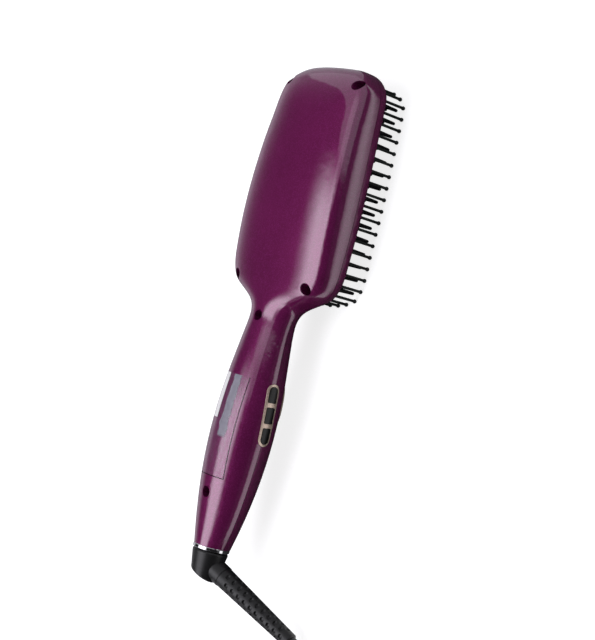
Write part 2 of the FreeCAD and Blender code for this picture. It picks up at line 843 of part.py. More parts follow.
def trim(body_prism, flange_prism, windows, proud, ledge):
    """Trim through the wall: a face that follows the skin and a flange behind the wall."""
    inner = handle_skin(n["wall"] + ledge)
    face = body_prism.common(handle_skin(-proud)).cut(inner)
    flange = flange_prism.common(handle_skin(n["wall"] + n["snug"])).cut(inner)
    return face.fuse(flange).cut(windows)


window_length = (n["panel_length"] - 2 * n["panel_rim"] - 2 * n["window_bar"]) / 3
window_step = window_length + n["window_bar"]
BUTTONS = (("button_down", -1), ("button_power", 0), ("button_up", 1))


def window_prism(index, grow, low, high=PANEL_HIGH):
    """One of the panel's three windows: a stretch of its round-ended opening, grown by `grow`."""
    rim = n["panel_rim"] - grow
    opening = stadium(n["panel_length"] - 2 * rim, n["panel_width"] - 2 * rim, low, high)
    corner = vector(low, index * window_step - 0.5 * window_length - grow, -n["panel_width"])
    segment = Part.makeBox(high - low, window_length + 2 * grow, 2 * n["panel_width"], corner)
    prism = segment.common(opening)
    round_ends = [edge for edge in prism.Edges if square_corner(edge, index, grow)]
    return on_panel(prism.makeFillet(n["window_corner"] + grow, round_ends))


def square_corner(edge, index, grow):
    """True for the window's edges along X where a bar between two windows meets the rim."""
    start, end = edge.Vertexes[0].Point, edge.Vertexes[-1].Point
    if abs(start.x - end.x) < 0.5:
        return False
    half = 0.5 * window_length + grow
    from_middle = start.y - index * window_step
    on_side = abs(abs(from_middle) - half) < 1e-4
    return on_side and from_middle * index <= 0.0


# ---------------------------------------------------------------- levels inside the handle

display_depth = handle_depth_at(n["display_place"])
module_inset = n["lens_sink"] + n["lens_thick"]
module_back = -display_depth + module_inset + n["module_thick"]
control_low = module_back + n["header_height"]
control_high = control_low + n["board_thick"]
panel_end = n["panel_place"] + 0.5 * n["panel_length"]
flange_top = handle_width_at(panel_end) - n["wall"] - n["panel_ledge"] - 0.9
button_floor = flange_top - n["button_flange"]
actuator_top = button_floor - n["button_travel"] - n["switch_gap"]
button_board_high = actuator_top - n["actuator_height"] - n["switch_height"]
button_board_low = button_board_high - n["board_thick"]
flange_inset = n["rim_width"] - n["frame_grip"]

# ---------------------------------------------------------------- shells

upper_skin = skin(0.0, low=False)
lower_skin = skin(0.0, high=False)
upper_hollow = hollow(n["wall"], low=False)
lower_hollow = hollow(n["wall"], low=True)
end_bore_radius = n["end_radius"] - n["wall"]
end_bore = Part.makeCylinder(end_bore_radius, 12.0, vector(0, n["end_place"] - 4.0, 0), Y_AXIS)
flange_reach = 1.3
panel_cuts = [
    panel_prism(n["fit"]),
    panel_prism(flange_reach + n["fit"]).common(handle_skin(n["wall"])),
]
display_cuts = [
    oval(n["fit"], OVAL_LOW, OVAL_HIGH),
    oval(flange_reach + n["fit"], OVAL_LOW, OVAL_HIGH).common(handle_skin(n["wall"])),
]


def seam_line():
    """Shallow groove round the outside, along the parting line."""
    items = sections(0.0)
    steps = outline_steps(items)
    top = n["seam"]
    grooves = []
    for side in (1, -1):
        rows = []
        for item in items:
            outer = side * (item["width"] + 1.0)
            inner = side * (item["width"] - n["seam_depth"])
            low, high = item["seat"] - 0.05, item["seat"] + top
            corners = [
                vector(outer, item["along"], low),
                vector(outer, item["along"], high),
                vector(inner, item["along"], high),
                vector(inner, item["along"], low),
            ]
            rows.append([[corners[k], corners[(k + 1) % 4]] for k in range(4)])
        grooves.append(solid_through(rows, steps))
    tip = items[-1]
    reach = tip["width"] + 1.0
    end = Part.makeBox(2 * reach, n["seam_depth"] + 1.0, top + 0.05,
                       vector(-reach, tip["along"] - n["seam_depth"], tip["seat"] - 0.05))
    return grooves + [end]


def carve(shape, tools):
    for tool in tools:
        shape = shape.cut(tool)
    return shape


def back_shell():
    """Upper shell: back of head and handle, with screw recesses and posts that press on the mica board."""
    shell = upper_skin.cut([upper_hollow, end_bore])
    posts = []
    for side in (-1, 1):
        for end in (-1, 1):
            across = side * n["heater_spread"]
            along = n["heater_place"] + end * n["rib_spread_along"]
            posts.append(upright(n["rib_radius"], across, along, mica_back, ABOVE).common(upper_skin))
    shell = shell.fuse(posts + screw_bosses())
    return shell.cut(screw_recesses() + seam_line() + panel_cuts)


def front_shell():
    """Lower shell: front of the handle and the rim round the heating field."""
    shell = carve(lower_skin, [lower_hollow, end_bore])
    opening = field_slab(opening_inset, rim_level - 5.0, frame_back + 1.0)
    pocket = field_slab(flange_inset - n["fit"], frame_seat, n["head_seam"] + 2.0)
    shell = carve(shell, [opening, pocket] + panel_cuts + display_cuts)
    stands = []
    for side in (-1, 1):
        across = side * (0.5 * n["control_board_width"] - n["stand_radius"])
        along = n["control_board_place"] - 0.5 * n["control_board_length"] + n["stand_radius"]
        stands.append(upright(n["stand_radius"], across, along, -ABOVE, control_low).common(lower_skin))
    stands.append(button_board_rib().common(lower_skin))
    return carve(shell.fuse(stands + screw_posts()), post_holes(HANDLE_SCREWS))


def button_board_rib():
    """Rib from the front shell's wall up to the tilted lower edge of the button board."""
    tilt = math.radians(n["panel_tilt"])
    half = 0.5 * n["button_board_width"]
    offset = n["rib_thick"] - 0.5 * n["button_board_length"]
    lowest = offset - 0.5 * n["rib_thick"]
    top = n["panel_rise"] + (lowest - half * math.sin(tilt)) * math.tan(tilt) - half * math.cos(tilt)
    near = 0.5 * n["control_board_width"] + n["button_clearance"]
    width = button_board_high + n["rib_overhang"] - near
    along = n["panel_place"] + offset
    height = ABOVE + top - n["snug"]
    return crossbox(near + 0.5 * width, along, -ABOVE, width, n["rib_thick"], height)


feature("back_shell", back_shell())
feature("front_shell", front_shell())


# ---------------------------------------------------------------- heating field

def bristle_frame():
    """Ring round the plate: its face stands in the opening, its flange and posts behind the rim."""
    face = field_slab(n["rim_width"] + n["fit"], frame_front, frame_seat + 0.1)
    flange = field_slab(flange_inset, frame_seat, frame_back)
    window = field_slab(frame_inner_inset, frame_front - 1.0, frame_back)
    return carve(face.fuse([flange] + corner_posts()), [window] + post_holes(CORNER_SCREWS))


def heating_plate():
    """Plate inside the frame, with a flange that bears on the frame's back."""
    face = field_slab(frame_inner_inset + n["fit"], plate_front, frame_back + 0.1)
    flange = field_slab(frame_inner_inset + n["fit"] - n["plate_grip"], frame_back, plate_back)
    return face.fuse(flange).cut(post_clearances())


PIN_SIDES = 8


def pin(profile):
    """Upright pin about the Z axis through rings of given (radius, level), faceted to stay light."""
    rings = []
    for radius, level in profile:
        angles = [2.0 * math.pi * step / PIN_SIDES for step in range(PIN_SIDES + 1)]
        rings.append([vector(radius * math.cos(turn), radius * math.sin(turn), level) for turn in angles])
    outlines = [rings[0], rings[-1]]
    for lower, upper in zip(rings, rings[1:]):
        for side in range(PIN_SIDES):
            outlines.append([lower[side], lower[side + 1], upper[side + 1], upper[side], lower[side]])
    shell = Part.Shell([Part.Face(Part.makePolygon(outline)) for outline in outlines])
    shell.sewShape()
    return Part.Solid(shell)


def ball_profile():
    """Slender shaft ending in a ball that touches the table."""
    bottom = -n["axis_height"]
    ball = n["ball_radius"]
    centre = bottom + ball
    neck_angle = math.asin(n["bristle_radius"] / ball)
    waist = centre + ball * math.cos(neck_angle)
    return [
        (n["bristle_base_radius"], frame_front),
        (n["bristle_radius"], waist),
        (ball, centre),
        (ball * DIAGONAL, centre - ball * DIAGONAL),
        (0.3 * ball, bottom),
    ]


def cool_bristles():
    """Ball-tipped bristles at an even pitch round the middle of the frame, the same on both sides."""
    line = field_half(bristle_inset, frame_front)
    count = round(line.Length / n["bristle_pitch"])
    bristle = pin(ball_profile())
    right = line.discretize(count + 1)
    left = [vector(-spot.x, spot.y, 0) for spot in right[1:-1]]
    return [bristle.translated(vector(spot.x, spot.y, 0)) for spot in right + left]


TEETH_ACROSS = 7


def tooth_rows():
    """Rows along the head, as many as the plate holds."""
    last = n["head_tip_place"] - tooth_line_inset
    count = int((last - n["tooth_first_row"]) / n["tooth_row_pitch"]) + 1
    return [n["tooth_first_row"] + n["tooth_row_pitch"] * index for index in range(count)]


def field_half_width(along, inset):
    """Half width of the front's outline at a place, `inset` inside it."""
    side = head_width_at(along) - inset
    base_reach = n["base_corner_along"] - inset
    base_share = max(0.0, (n["base_place"] + n["base_corner_along"] - along) / base_reach)
    tip_reach = n["tip_corner_along"] - inset
    tip_start = n["head_tip_place"] - n["tip_corner_along"]
    tip_share_here = max(0.0, (along - tip_start) / tip_reach)
    side -= (n["base_corner_across"] - inset) * (1.0 - math.sqrt(max(0.0, 1.0 - base_share ** 2)))
    side -= (n["tip_corner_across"] - inset) * (1.0 - math.sqrt(max(0.0, 1.0 - tip_share_here ** 2)))
    return side


def heated_teeth():
    """Heated teeth in rows across the plate, fanned out to follow its sides."""
    tip_level = -n["axis_height"] + n["tooth_short"]
    profile = [
        (n["tooth_base_radius"], plate_front),
        (n["tooth_tip_radius"], tip_level + 0.5 * n["tooth_tip_radius"]),
        (0.5 * n["tooth_tip_radius"], tip_level),
    ]
    tooth = pin(profile)
    teeth = []
    for along in tooth_rows():
        reach = field_half_width(along, tooth_line_inset)
        for column in range(TEETH_ACROSS):
            across = reach * (2.0 * column / (TEETH_ACROSS - 1) - 1.0)
            teeth.append(tooth.translated(vector(across, along, 0)))
    return teeth


feature("bristle_frame", bristle_frame())
feature("heating_plate", heating_plate())
feature("cool_bristles", Part.makeCompound(cool_bristles()))
feature("heated_teeth", Part.makeCompound(heated_teeth()))
feature("case_screws", case_screws())
feature("mica_board", field_slab(n["mica_margin"], clamp_back, mica_back))

for side, word in ((-1, "left"), (1, "right")):
    heater = block(f"ptc_heater_{word}", s["heater_width"], s["heater_length"], s["heater_thick"])
    place(heater, s["heater_spread"] * side, s["heater_place"], plate_back)

heater_edge = s["heater_spread"] + s["heater_width"] / 2 + s["clamp_side_gap"]
clamp_side = heater_edge + s["clamp_thick"]
clamp_reach = clamp_side + s["clamp_foot"]
clamp_top = s["heater_thick"] + s["clamp_thick"]
right_half = (
    (heater_edge, s["heater_thick"]),
    (heater_edge, 0),
    (clamp_reach, 0),
    (clamp_reach, s["clamp_thick"]),
    (clamp_side, s["clamp_thick"]),
    (clamp_side, clamp_top),
)
left_half = [(-across, up) for across, up in reversed(right_half)]
clamp = padded_body("heater_clamp", list(right_half) + left_half, s["clamp_length"], "XZ_Plane")
place(clamp, 0, s["heater_place"] + s["clamp_length"] / 2, plate_back)

fuse = doc.addObject("Part::Cylinder", "thermal_fuse")
bind(fuse, "Radius", s["fuse_radius"])
bind(fuse, "Height", s["fuse_length"])
fuse.Placement.Rotation = FreeCAD.Rotation(X_AXIS, -90)
place(fuse, 0, s["heater_place"] + s["sensor_spread"], s["fuse_radius"] + plate_back)

sensor = block("temperature_sensor", s["sensor_width"], s["sensor_length"], s["heater_thick"])
place(sensor, 0, s["heater_place"] - s["sensor_spread"], plate_back)


# ---------------------------------------------------------------- buttons

def button_panel():
    """Bezel on the handle's side with three windows."""
    windows = [window_prism(index, 0.0, 0.5 * PANEL_LOW) for name, index in BUTTONS]
    flange = panel_prism(flange_reach)
    return trim(panel_prism(0.0), flange, windows, n["panel_proud"], n["panel_ledge"])


def button(index):
    """Cap that follows the handle's skin, with a flange that keeps it behind the panel."""
    cap_prism = window_prism(index, -n["button_clearance"], button_floor)
    flange = window_prism(index, n["button_flange_edge"], button_floor, flange_top)
    return cap_prism.common(handle_skin(-n["button_proud"])).fuse(flange)


def tact_switch(index):
    """Switch on the button board under one button."""
    side = n["switch_side"]
    along = index * window_step
    corner = vector(button_board_high, along - 0.5 * side, -0.5 * side)
    case = Part.makeBox(n["switch_height"], side, side, corner)
    top = button_board_high + n["switch_height"]
    centre = vector(top, along, 0)
    actuator = Part.makeCylinder(n["actuator_radius"], n["actuator_height"], centre, X_AXIS)
    return on_panel(case.fuse(actuator))


def button_board():
    length, width = n["button_board_length"], n["button_board_width"]
    corner = vector(button_board_low, -0.5 * length, -0.5 * width)
    return on_panel(Part.makeBox(n["board_thick"], length, width, corner))


feature("button_panel", button_panel())
feature("button_board", button_board())
feature("tact_switches", Part.makeCompound([tact_switch(index) for name, index in BUTTONS]))
for name, index in BUTTONS:
    feature(name, button(index))


# ---------------------------------------------------------------- display and control board

def display_bezel():
    """Oval rim round the display on the handle's front."""
    window = oval(-n["display_rim"], OVAL_LOW, OVAL_HIGH)
    flange = oval(flange_reach, OVAL_LOW, OVAL_HIGH)
    cuts = [window, panel_prism(flange_reach + n["fit"])]
    return trim(oval(0.0, OVAL_LOW, OVAL_HIGH), flange, cuts, n["display_proud"], n["panel_ledge"])


def display_lens():
    """Clear cover that fills the bezel, a little below the handle's skin."""
    prism = oval(-n["display_rim"] - n["snug"], OVAL_LOW, OVAL_HIGH)
    return prism.common(handle_skin(n["lens_sink"])).cut(handle_skin(module_inset))


def display_module():
    """Display behind the lens; its light guide follows the lens."""
    width, length = n["module_width"], n["module_length"]
    body = crossbox(0, n["display_place"], -ABOVE, width, length, ABOVE + module_back)
    return body.common(handle_skin(module_inset + n["snug"]))


def control_board():
    """Board on the front shell's stands, with its pin header, transformer and relay."""
    width, length = n["control_board_width"], n["control_board_length"]
    board = crossbox(0, n["control_board_place"], control_low, width, length, n["board_thick"])
    header = crossbox(0, n["display_place"], module_back, 0.7 * width, n["header_height"], n["header_height"])
    low_end = n["control_board_place"] - 0.5 * length
    parts_width = 0.8 * width
    transformer_place = low_end + 0.75 * n["transformer_length"]
    relay_place = transformer_place + n["transformer_length"] + 0.5 * n["relay_length"]
    transformer = crossbox(
        0, transformer_place, control_high, parts_width, n["transformer_length"], n["transformer_height"]
    )
    relay = crossbox(0, relay_place, control_high, parts_width, n["relay_length"], n["relay_height"])
    key_header_place = n["panel_place"] + 0.3 * n["button_board_length"]
    reach = button_board_low - 0.25 * width
    key_header = crossbox(
        button_board_low - 0.5 * reach, key_header_place, control_high, reach, 0.8 * width, n["relay_height"]
    )
    return board.fuse([header, transformer, relay, key_header])


def rating_film():
    """Clear film on the back of the handle."""
    low = n["film_top"] - n["film_length"]
    corner = vector(-n["film_half_width"], low, 0)
    stretch = Part.makeBox(2 * n["film_half_width"], n["film_length"], ABOVE, corner)
    outside = handle_skin(-n["snug"] - n["film_thick"])
    return stretch.common(outside).cut(handle_skin(-n["snug"]))


feature("display_bezel", display_bezel())
feature("display_lens", display_lens())
feature("display_module", display_module())
feature("control_board", control_board())
feature("rating_film", rating_film())


# ---------------------------------------------------------------- swivel, brush side

def turn_to_cord(body):
    """Point a turned body's axis towards the cord."""
    body.Placement.Rotation = FreeCAD.Rotation(X_AXIS, 90)


def turn_to_head(body):
    """Point a turned body's axis towards the head."""
    body.Placement.Rotation = FreeCAD.Rotation(X_AXIS, -90)


bore = s["journal_radius"] + s["running_clearance"]
ring_bore = s["journal_radius"] + s["swivel_gap"]
ring_outer = s["end_radius"] + s["ring_bead"]
ring = turned_body("chrome_ring", (
    (ring_bore, 0),
    (s["end_radius"], 0),
    (ring_outer, s["ring_bead"]),
    (ring_outer, s["ring_height"] - s["ring_bead"]),
    (s["end_radius"], s["ring_height"]),
    (ring_bore, s["ring_height"]),
))
turn_to_cord(ring)
place(ring, 0, s["end_place"], 0)

socket_tube = bore + s["socket_wall"]
socket_flange = s["end_radius"] - s["wall"] - s["fit"]
socket = turned_body("swivel_socket", (
    (bore, 0),
    (socket_flange, 0),
    (socket_flange, s["socket_flange"]),
    (socket_tube, s["socket_flange"]),
    (socket_tube, s["socket_length"]),
    (bore, s["socket_length"]),
))
turn_to_head(socket)
place(socket, 0, s["end_place"], 0)

clip_start = s["end_place"] + s["socket_length"] + s["clip_play"]
journal_end = clip_start + s["clip_thick"] + s["clip_land"]
slip_radius = s["slip_core_radius"] + s["slip_ring_wall"]
contact_inner = slip_radius + s["contact_gap"]
contact_outer = contact_inner + s["contact_thick"]
carrier_inner = contact_outer + s["contact_reach"]
SLIP_RINGS = (0, 1)


def slip_ring_place(index):
    """Middle of a slip ring, from the neck screw."""
    return journal_end + s["slip_start"] + s["slip_ring_length"] / 2 + s["slip_pitch"] * index


def contact_blade(index):
    """Spring blade beside a slip ring, with the foot that its carrier holds."""
    width, half = n["contact_width"], n["contact_half_height"]
    low_end = float(slip_ring_place(index)) - 0.5 * width
    thick = n["contact_thick"]
    blade = Part.makeBox(thick, width, 2 * half, vector(contact_inner, low_end, -half))
    reach = float(carrier_inner - contact_inner)
    foot = Part.makeBox(reach, width, thick, vector(contact_inner, low_end, -half))
    return blade.fuse(foot)


feature("contact_blades", Part.makeCompound([contact_blade(index) for index in SLIP_RINGS]))

stem_end = slip_ring_place(SLIP_RINGS[-1]) + s["slip_ring_length"] / 2 + s["slip_start"]
carrier_length = stem_end - s["end_place"] - s["socket_length"]
carrier = block("contact_carrier", s["carrier_thick"], carrier_length, s["contact_half_height"] * 2)
carrier_middle = s["end_place"] + s["socket_length"] + carrier_length / 2
place(carrier, carrier_inner + s["carrier_thick"] / 2, carrier_middle, -s["contact_half_height"])


# ---------------------------------------------------------------- swivel, cord side

clip = turned_body("retaining_clip", (
    (s["journal_radius"] - s["clip_groove"], 0),
    (s["clip_radius"], 0),
    (s["clip_radius"], s["clip_thick"]),
    (s["journal_radius"] - s["clip_groove"], s["clip_thick"]),
))
turn_to_head(clip)
place(clip, 0, clip_start, 0)

for index in SLIP_RINGS:
    slip_ring = turned_body(f"slip_ring_{index + 1}", (
        (s["slip_core_radius"], 0),
        (slip_radius, 0),
        (slip_radius, s["slip_ring_length"]),
        (s["slip_core_radius"], s["slip_ring_length"]),
    ))
    turn_to_head(slip_ring)
    place(slip_ring, 0, slip_ring_place(index) - s["slip_ring_length"] / 2, 0)

bend = math.radians(n["bend_angle"])
roll = math.radians(n["bend_roll"])
SIDEWAYS = vector(math.cos(roll), 0, -math.sin(roll))
TO_CORD = SIDEWAYS * math.sin(bend) - Y_AXIS * math.cos(bend)
UNDER = -Y_AXIS * math.sin(bend) - SIDEWAYS * math.cos(bend)
elbow_face = n["end_place"] - n["ring_height"] - n["swivel_gap"]
crossing = vector(0, elbow_face - n["elbow_drop"], 0)


def swivel_elbow():
    """Knuckle that turns the cord aside, with the journal and stem that run in the handle."""
    below = n["elbow_drop"] + 2.0 * n["elbow_radius"]
    narrow = n["elbow_radius"] - below * math.tan(math.radians(n["elbow_taper"]))
    knuckle = Part.makeCone(n["elbow_radius"], narrow, below, vector(0, elbow_face, 0), -Y_AXIS)
    under = crossing + UNDER * (n["boot_root_radius"] + n["elbow_under"])
    knuckle = knuckle.cut(Part.makeCylinder(3.0 * n["elbow_radius"], below, under, UNDER))
    rounded = [edge for edge in knuckle.Edges if not edge.isSeam(knuckle.Faces[0])]
    knuckle = knuckle.makeFillet(n["elbow_round"], rounded)
    branch = Part.makeCylinder(n["branch_radius"], n["neck_out"], crossing, TO_CORD)
    journal_length = float(journal_end) - elbow_face
    journal = Part.makeCylinder(n["journal_radius"], journal_length, vector(0, elbow_face, 0), Y_AXIS)
    stem_length = float(stem_end - journal_end)
    stem = Part.makeCylinder(n["slip_core_radius"], stem_length, vector(0, journal_end, 0), Y_AXIS)
    groove_floor = n["journal_radius"] - n["clip_groove"]
    groove_place = vector(0, clip_start, 0)
    ring_round = Part.makeCylinder(n["clip_radius"], n["clip_thick"], groove_place, Y_AXIS)
    groove = ring_round.cut(Part.makeCylinder(groove_floor, n["clip_thick"], groove_place, Y_AXIS))
    boot_root = crossing + TO_CORD * n["neck_out"]
    seat = Part.makeCylinder(n["branch_radius"], n["elbow_radius"], boot_root, TO_CORD)
    return knuckle.fuse([branch, journal, stem]).cut([groove, seat])


def cord_boot():
    """Tapered boot with a plain collar and staggered notches that let it bend."""
    root = crossing + TO_CORD * n["neck_out"]
    boot = Part.makeCone(n["boot_root_radius"], n["boot_end_radius"], n["boot_length"], root, TO_CORD)
    rows = int((n["boot_length"] - n["boot_collar"] - n["notch_length"]) / n["notch_pitch"])
    notches = []
    for row in range(rows):
        out = n["boot_collar"] + n["notch_pitch"] * row + 0.5 * n["notch_length"]
        taper = (n["boot_root_radius"] - n["boot_end_radius"]) * out / n["boot_length"]
        bottom = n["boot_root_radius"] - taper - n["notch_depth"]
        for quarter in range(4):
            corner = vector(bottom, -0.5 * n["notch_width"], out)
            notch = Part.makeBox(n["notch_depth"] + 1.0, n["notch_width"], n["notch_length"], corner)
            notch.rotate(vector(0, 0, 0), Z_AXIS, 90.0 * quarter + 45.0 * (row % 2))
            notch.Placement = FreeCAD.Placement(root, FreeCAD.Rotation(Z_AXIS, TO_CORD)) * notch.Placement
            notches.append(notch)
    return boot.cut(notches)


feature("swivel_elbow", swivel_elbow())
feature("cord_boot", cord_boot())


# ---------------------------------------------------------------- cord

TABLE = -n["axis_height"]
COIL_TURN_TO_PLUG = 100.0
COIL_TURN_TO_TIE = 195.0
# Runs of the cord on the table after the boot: length, and heading in degrees from +X.
CORD_RUNS = ((17.0, -37.0), (19.0, -60.0))
# Runs from the coil to the plug: length, turn from the run before, and how far each comes down.
TAIL_RUNS = ((20.0, 0.0), (14.0, 6.0), (10.0, 6.0))


def heading(degrees):
    return vector(math.cos(math.radians(degrees)), math.sin(math.radians(degrees)), 0)


def rounded_path(points, label):
    """Straight runs joined by tangent arcs, each as large as its two runs allow."""
    edges = []
    here = points[0]
    radii = []
    for before, corner, after in zip(points, points[1:], points[2:]):
        back = before - corner
        ahead = after - corner
        turn = math.pi - back.getAngle(ahead)
        cut_back = 0.45 * min(back.Length, ahead.Length)
        radius = cut_back / math.tan(0.5 * turn)
        back.normalize()
        ahead.normalize()
        start = corner + back * cut_back
        end = corner + ahead * cut_back
        toward = back + ahead
        toward.normalize()
        centre = corner + toward * (radius / math.cos(0.5 * turn))
        out = corner - centre
        out.normalize()
        edges.append(Part.LineSegment(here, start).toShape())
        edges.append(Part.Arc(start, centre + out * radius, end).toShape())
        here = end
        radii.append(round(radius, 1))
    edges.append(Part.LineSegment(here, points[-1]).toShape())
    print(label, "bend radii", radii, "smallest allowed", 10.0 * n["cord_radius"])
    return Part.Wire(edges)


def tube(points, label):
    """Round cord along a path; its volume is compared with section times length."""
    path = rounded_path(points, label)
    start = points[1] - points[0]
    section = Part.Wire(Part.makeCircle(n["cord_radius"], points[0], start))
    solid = path.makePipeShell([section], True, False)
    expected = math.pi * n["cord_radius"] ** 2 * path.Length
    print(label, "length", round(path.Length, 1), "volume ratio", round(solid.Volume / expected, 4))
    return solid


boot_end = crossing + TO_CORD * (n["neck_out"] + n["boot_length"])
drop = boot_end.z - TABLE - n["cord_radius"]
cord_points = [boot_end, boot_end + TO_CORD * (drop / -TO_CORD.z)]
for length, bearing in CORD_RUNS:
    cord_points.append(cord_points[-1] + heading(bearing) * length)

coil_base = TABLE + n["tie_wall"] + n["snug"]
coil_half_width = n["coil_turns_across"] * n["cord_radius"]
layer_rise = math.sqrt(3.0) * n["cord_radius"]
coil_height = 2.0 * n["cord_radius"] + layer_rise
lay_radius = n["coil_mean_radius"] + coil_half_width - n["cord_radius"]
cord_points[-1].z = coil_base + n["cord_radius"]
arrival = CORD_RUNS[-1][1]
coil_centre = cord_points[-1] + heading(arrival - 90.0) * lay_radius
coil_centre.z = coil_base
feature("cord", tube(cord_points, "cord"))


def coil_section(grow):
    """Section of the bundled turns, grown by `grow`, in the plane through the coil's axis."""
    inner = n["coil_mean_radius"] - coil_half_width - grow
    width = 2.0 * (coil_half_width + grow)
    height = coil_height + 2.0 * grow
    plate = Part.makeBox(width, 1.0, height, coil_centre + vector(inner, 0, -grow))
    upright_edges = [edge for edge in plate.Edges if abs(edge.Length - 1.0) < 1e-6]
    rounded = plate.makeChamfer(0.6 * n["cord_radius"] + grow, upright_edges)
    return next(face for face in rounded.Faces if abs(face.CenterOfMass.y - coil_centre.y) < 1e-6)


def cord_coil():
    return coil_section(0.0).revolve(coil_centre, Z_AXIS, 360)


def coil_tie():
    """Band round the bundled turns."""
    sweep = math.degrees(n["tie_width"] / n["coil_mean_radius"])
    outer = coil_section(n["snug"] + n["tie_wall"]).revolve(coil_centre, Z_AXIS, sweep)
    inner = coil_section(n["snug"]).revolve(coil_centre, Z_AXIS, sweep)
    return outer.cut(inner).rotated(coil_centre, Z_AXIS, COIL_TURN_TO_TIE)


feature("cord_coil", cord_coil())
feature("coil_tie", coil_tie())

leave = arrival + 90.0 - COIL_TURN_TO_PLUG
tail_start = coil_centre + heading(leave) * (lay_radius - n["cord_radius"])
tail_start.z = coil_base + coil_height - n["cord_radius"]
plug_level = TABLE + 0.5 * n["plug_thick"]
tail_points = [tail_start]
bearing = leave - 90.0
for length, turn in TAIL_RUNS:
    bearing -= turn
    tail_points.append(tail_points[-1] + heading(bearing) * length)
fall = (plug_level - tail_start.z) / 2
tail_points[1].z = tail_start.z + fall
tail_points[2].z = plug_level
tail_points[3].z = plug_level
feature("cord_tail", tube(tail_points, "cord_tail"))


# ---------------------------------------------------------------- mains plug

plug_turn = FreeCAD.Rotation(Y_AXIS, heading(bearing))


def at_plug(piece, out, across=0.0, turn=FreeCAD.Rotation()):
    """Set a piece `out` along the plug's line from the end of the cord, and `across` it."""
    spot = tail_points[-1] + plug_turn.multVec(vector(across, out, 0)) + BRUSH_PLACE
    piece.Placement = FreeCAD.Placement(spot, plug_turn * turn)


tail_guard = turned_body("plug_tail", (
    (0, 0),
    (s["plug_tail_end_radius"], 0),
    (s["plug_tail_radius"], s["plug_tail_length"]),
    (0, s["plug_tail_length"]),
))
at_plug(tail_guard, 0, 0, FreeCAD.Rotation(X_AXIS, -90))

half_plug = s["plug_width"] / 2
half_heel = s["plug_heel_width"] / 2
shoulder = s["plug_length"] - s["plug_nose"]
plug = padded_body("mains_plug", (
    (-half_heel, 0),
    (half_heel, 0),
    (half_plug, shoulder),
    (half_plug, s["plug_length"]),
    (-half_plug, s["plug_length"]),
    (-half_plug, shoulder),
), s["plug_thick"])
plug_pad = plug.Tip
plug_pad.Midplane = True
doc.recompute()
corner_edges = [
    f"Edge{number}"
    for number, edge in enumerate(plug_pad.Shape.Edges, start=1)
    if abs(edge.Vertexes[0].Z - edge.Vertexes[-1].Z) > 1.0
]
corners = plug.newObject("PartDesign::Fillet", "mains_plug_corners")
corners.Base = (plug_pad, corner_edges)
bind(corners, "Radius", s["plug_corner"])
plug.Tip = corners
doc.recompute()
rim_edges = [
    f"Edge{number}"
    for number, edge in enumerate(corners.Shape.Edges, start=1)
    if abs(edge.Vertexes[0].Z - edge.Vertexes[-1].Z) < 0.1
]
rims = plug.newObject("PartDesign::Fillet", "mains_plug_edges")
rims.Base = (corners, rim_edges)
bind(rims, "Radius", s["plug_edge"])
plug.Tip = rims
doc.recompute()
sockets = plug.newObject("Sketcher::SketchObject", "mains_plug_pin_sockets")
sockets.AttachmentSupport = [(origin_plane(plug, "XZ_Plane"), "")]
sockets.MapMode = "FlatFace"
bind(sockets, "AttachmentOffset.Base.z", -s["plug_length"])
for side in (-1, 1):
    spot = vector(0.5 * side * n["pin_spacing"], 0, 0)
    circle = sockets.addGeometry(Part.Circle(spot, Z_AXIS, n["pin_core_radius"]))
    centre = sockets.addConstraint(Sketcher.Constraint("DistanceX", -1, 1, circle, 3, spot.x))
    sockets.setExpression(f"Constraints[{centre}]", (s["pin_spacing"] * (0.5 * side)).text)
    sockets.addConstraint(Sketcher.Constraint("DistanceY", -1, 1, circle, 3, 0.0))
    width = sockets.addConstraint(Sketcher.Constraint("Radius", circle, n["pin_core_radius"]))
    sockets.setExpression(f"Constraints[{width}]", (s["pin_core_radius"] + s["snug"]).text)
pocket = plug.newObject("PartDesign::Pocket", "mains_plug_pin_holes")
pocket.Profile = sockets
pocket.Reversed = True
bind(pocket, "Length", s["pin_root"])
plug.Tip = pocket
at_plug(plug, n["plug_tail_length"])
doc.recompute()
print("pin holes remove", round(rims.Shape.Volume - plug.Shape.Volume, 1))

face_out = n["plug_tail_length"] + n["plug_length"]
for side, word in ((-1, "left"), (1, "right")):
    across = 0.5 * side * n["pin_spacing"]
    bare_start = s["pin_root"] + s["sleeve_length"]
    pin_end = s["pin_root"] + s["pin_length"]
    contact_pin = turned_body(f"plug_pin_{word}", (
        (0, 0),
        (s["pin_core_radius"], 0),
        (s["pin_core_radius"], bare_start),
        (s["pin_radius"], bare_start),
        (s["pin_radius"], pin_end - s["pin_tip"]),
        (s["pin_radius"] - s["pin_tip"], pin_end),
        (0, pin_end),
    ))
    at_plug(contact_pin, face_out - n["pin_root"], across, FreeCAD.Rotation(X_AXIS, -90))
    sleeve = turned_body(f"pin_sleeve_{word}", (
        (s["pin_core_radius"] + s["snug"], 0),
        (s["pin_radius"], 0),
        (s["pin_radius"], s["sleeve_length"]),
        (s["pin_core_radius"] + s["snug"], s["sleeve_length"]),
    ))
    at_plug(sleeve, face_out, across, FreeCAD.Rotation(X_AXIS, -90))


# ---------------------------------------------------------------- check and write

doc.recompute()
SHOWN = ("PartDesign::Body", "Part::Feature", "Part::Cylinder")
for thing in doc.Objects:
    if "Invalid" in thing.State or "Error" in thing.State:
        raise RuntimeError(f"{thing.Name} could not be made: {thing.State}")

pieces = [thing for thing in doc.Objects if thing.TypeId in SHOWN]
for piece in pieces:
    if piece.Shape.isNull() or not piece.Shape.isValid():
        raise RuntimeError(f"{piece.Label} has no valid shape")

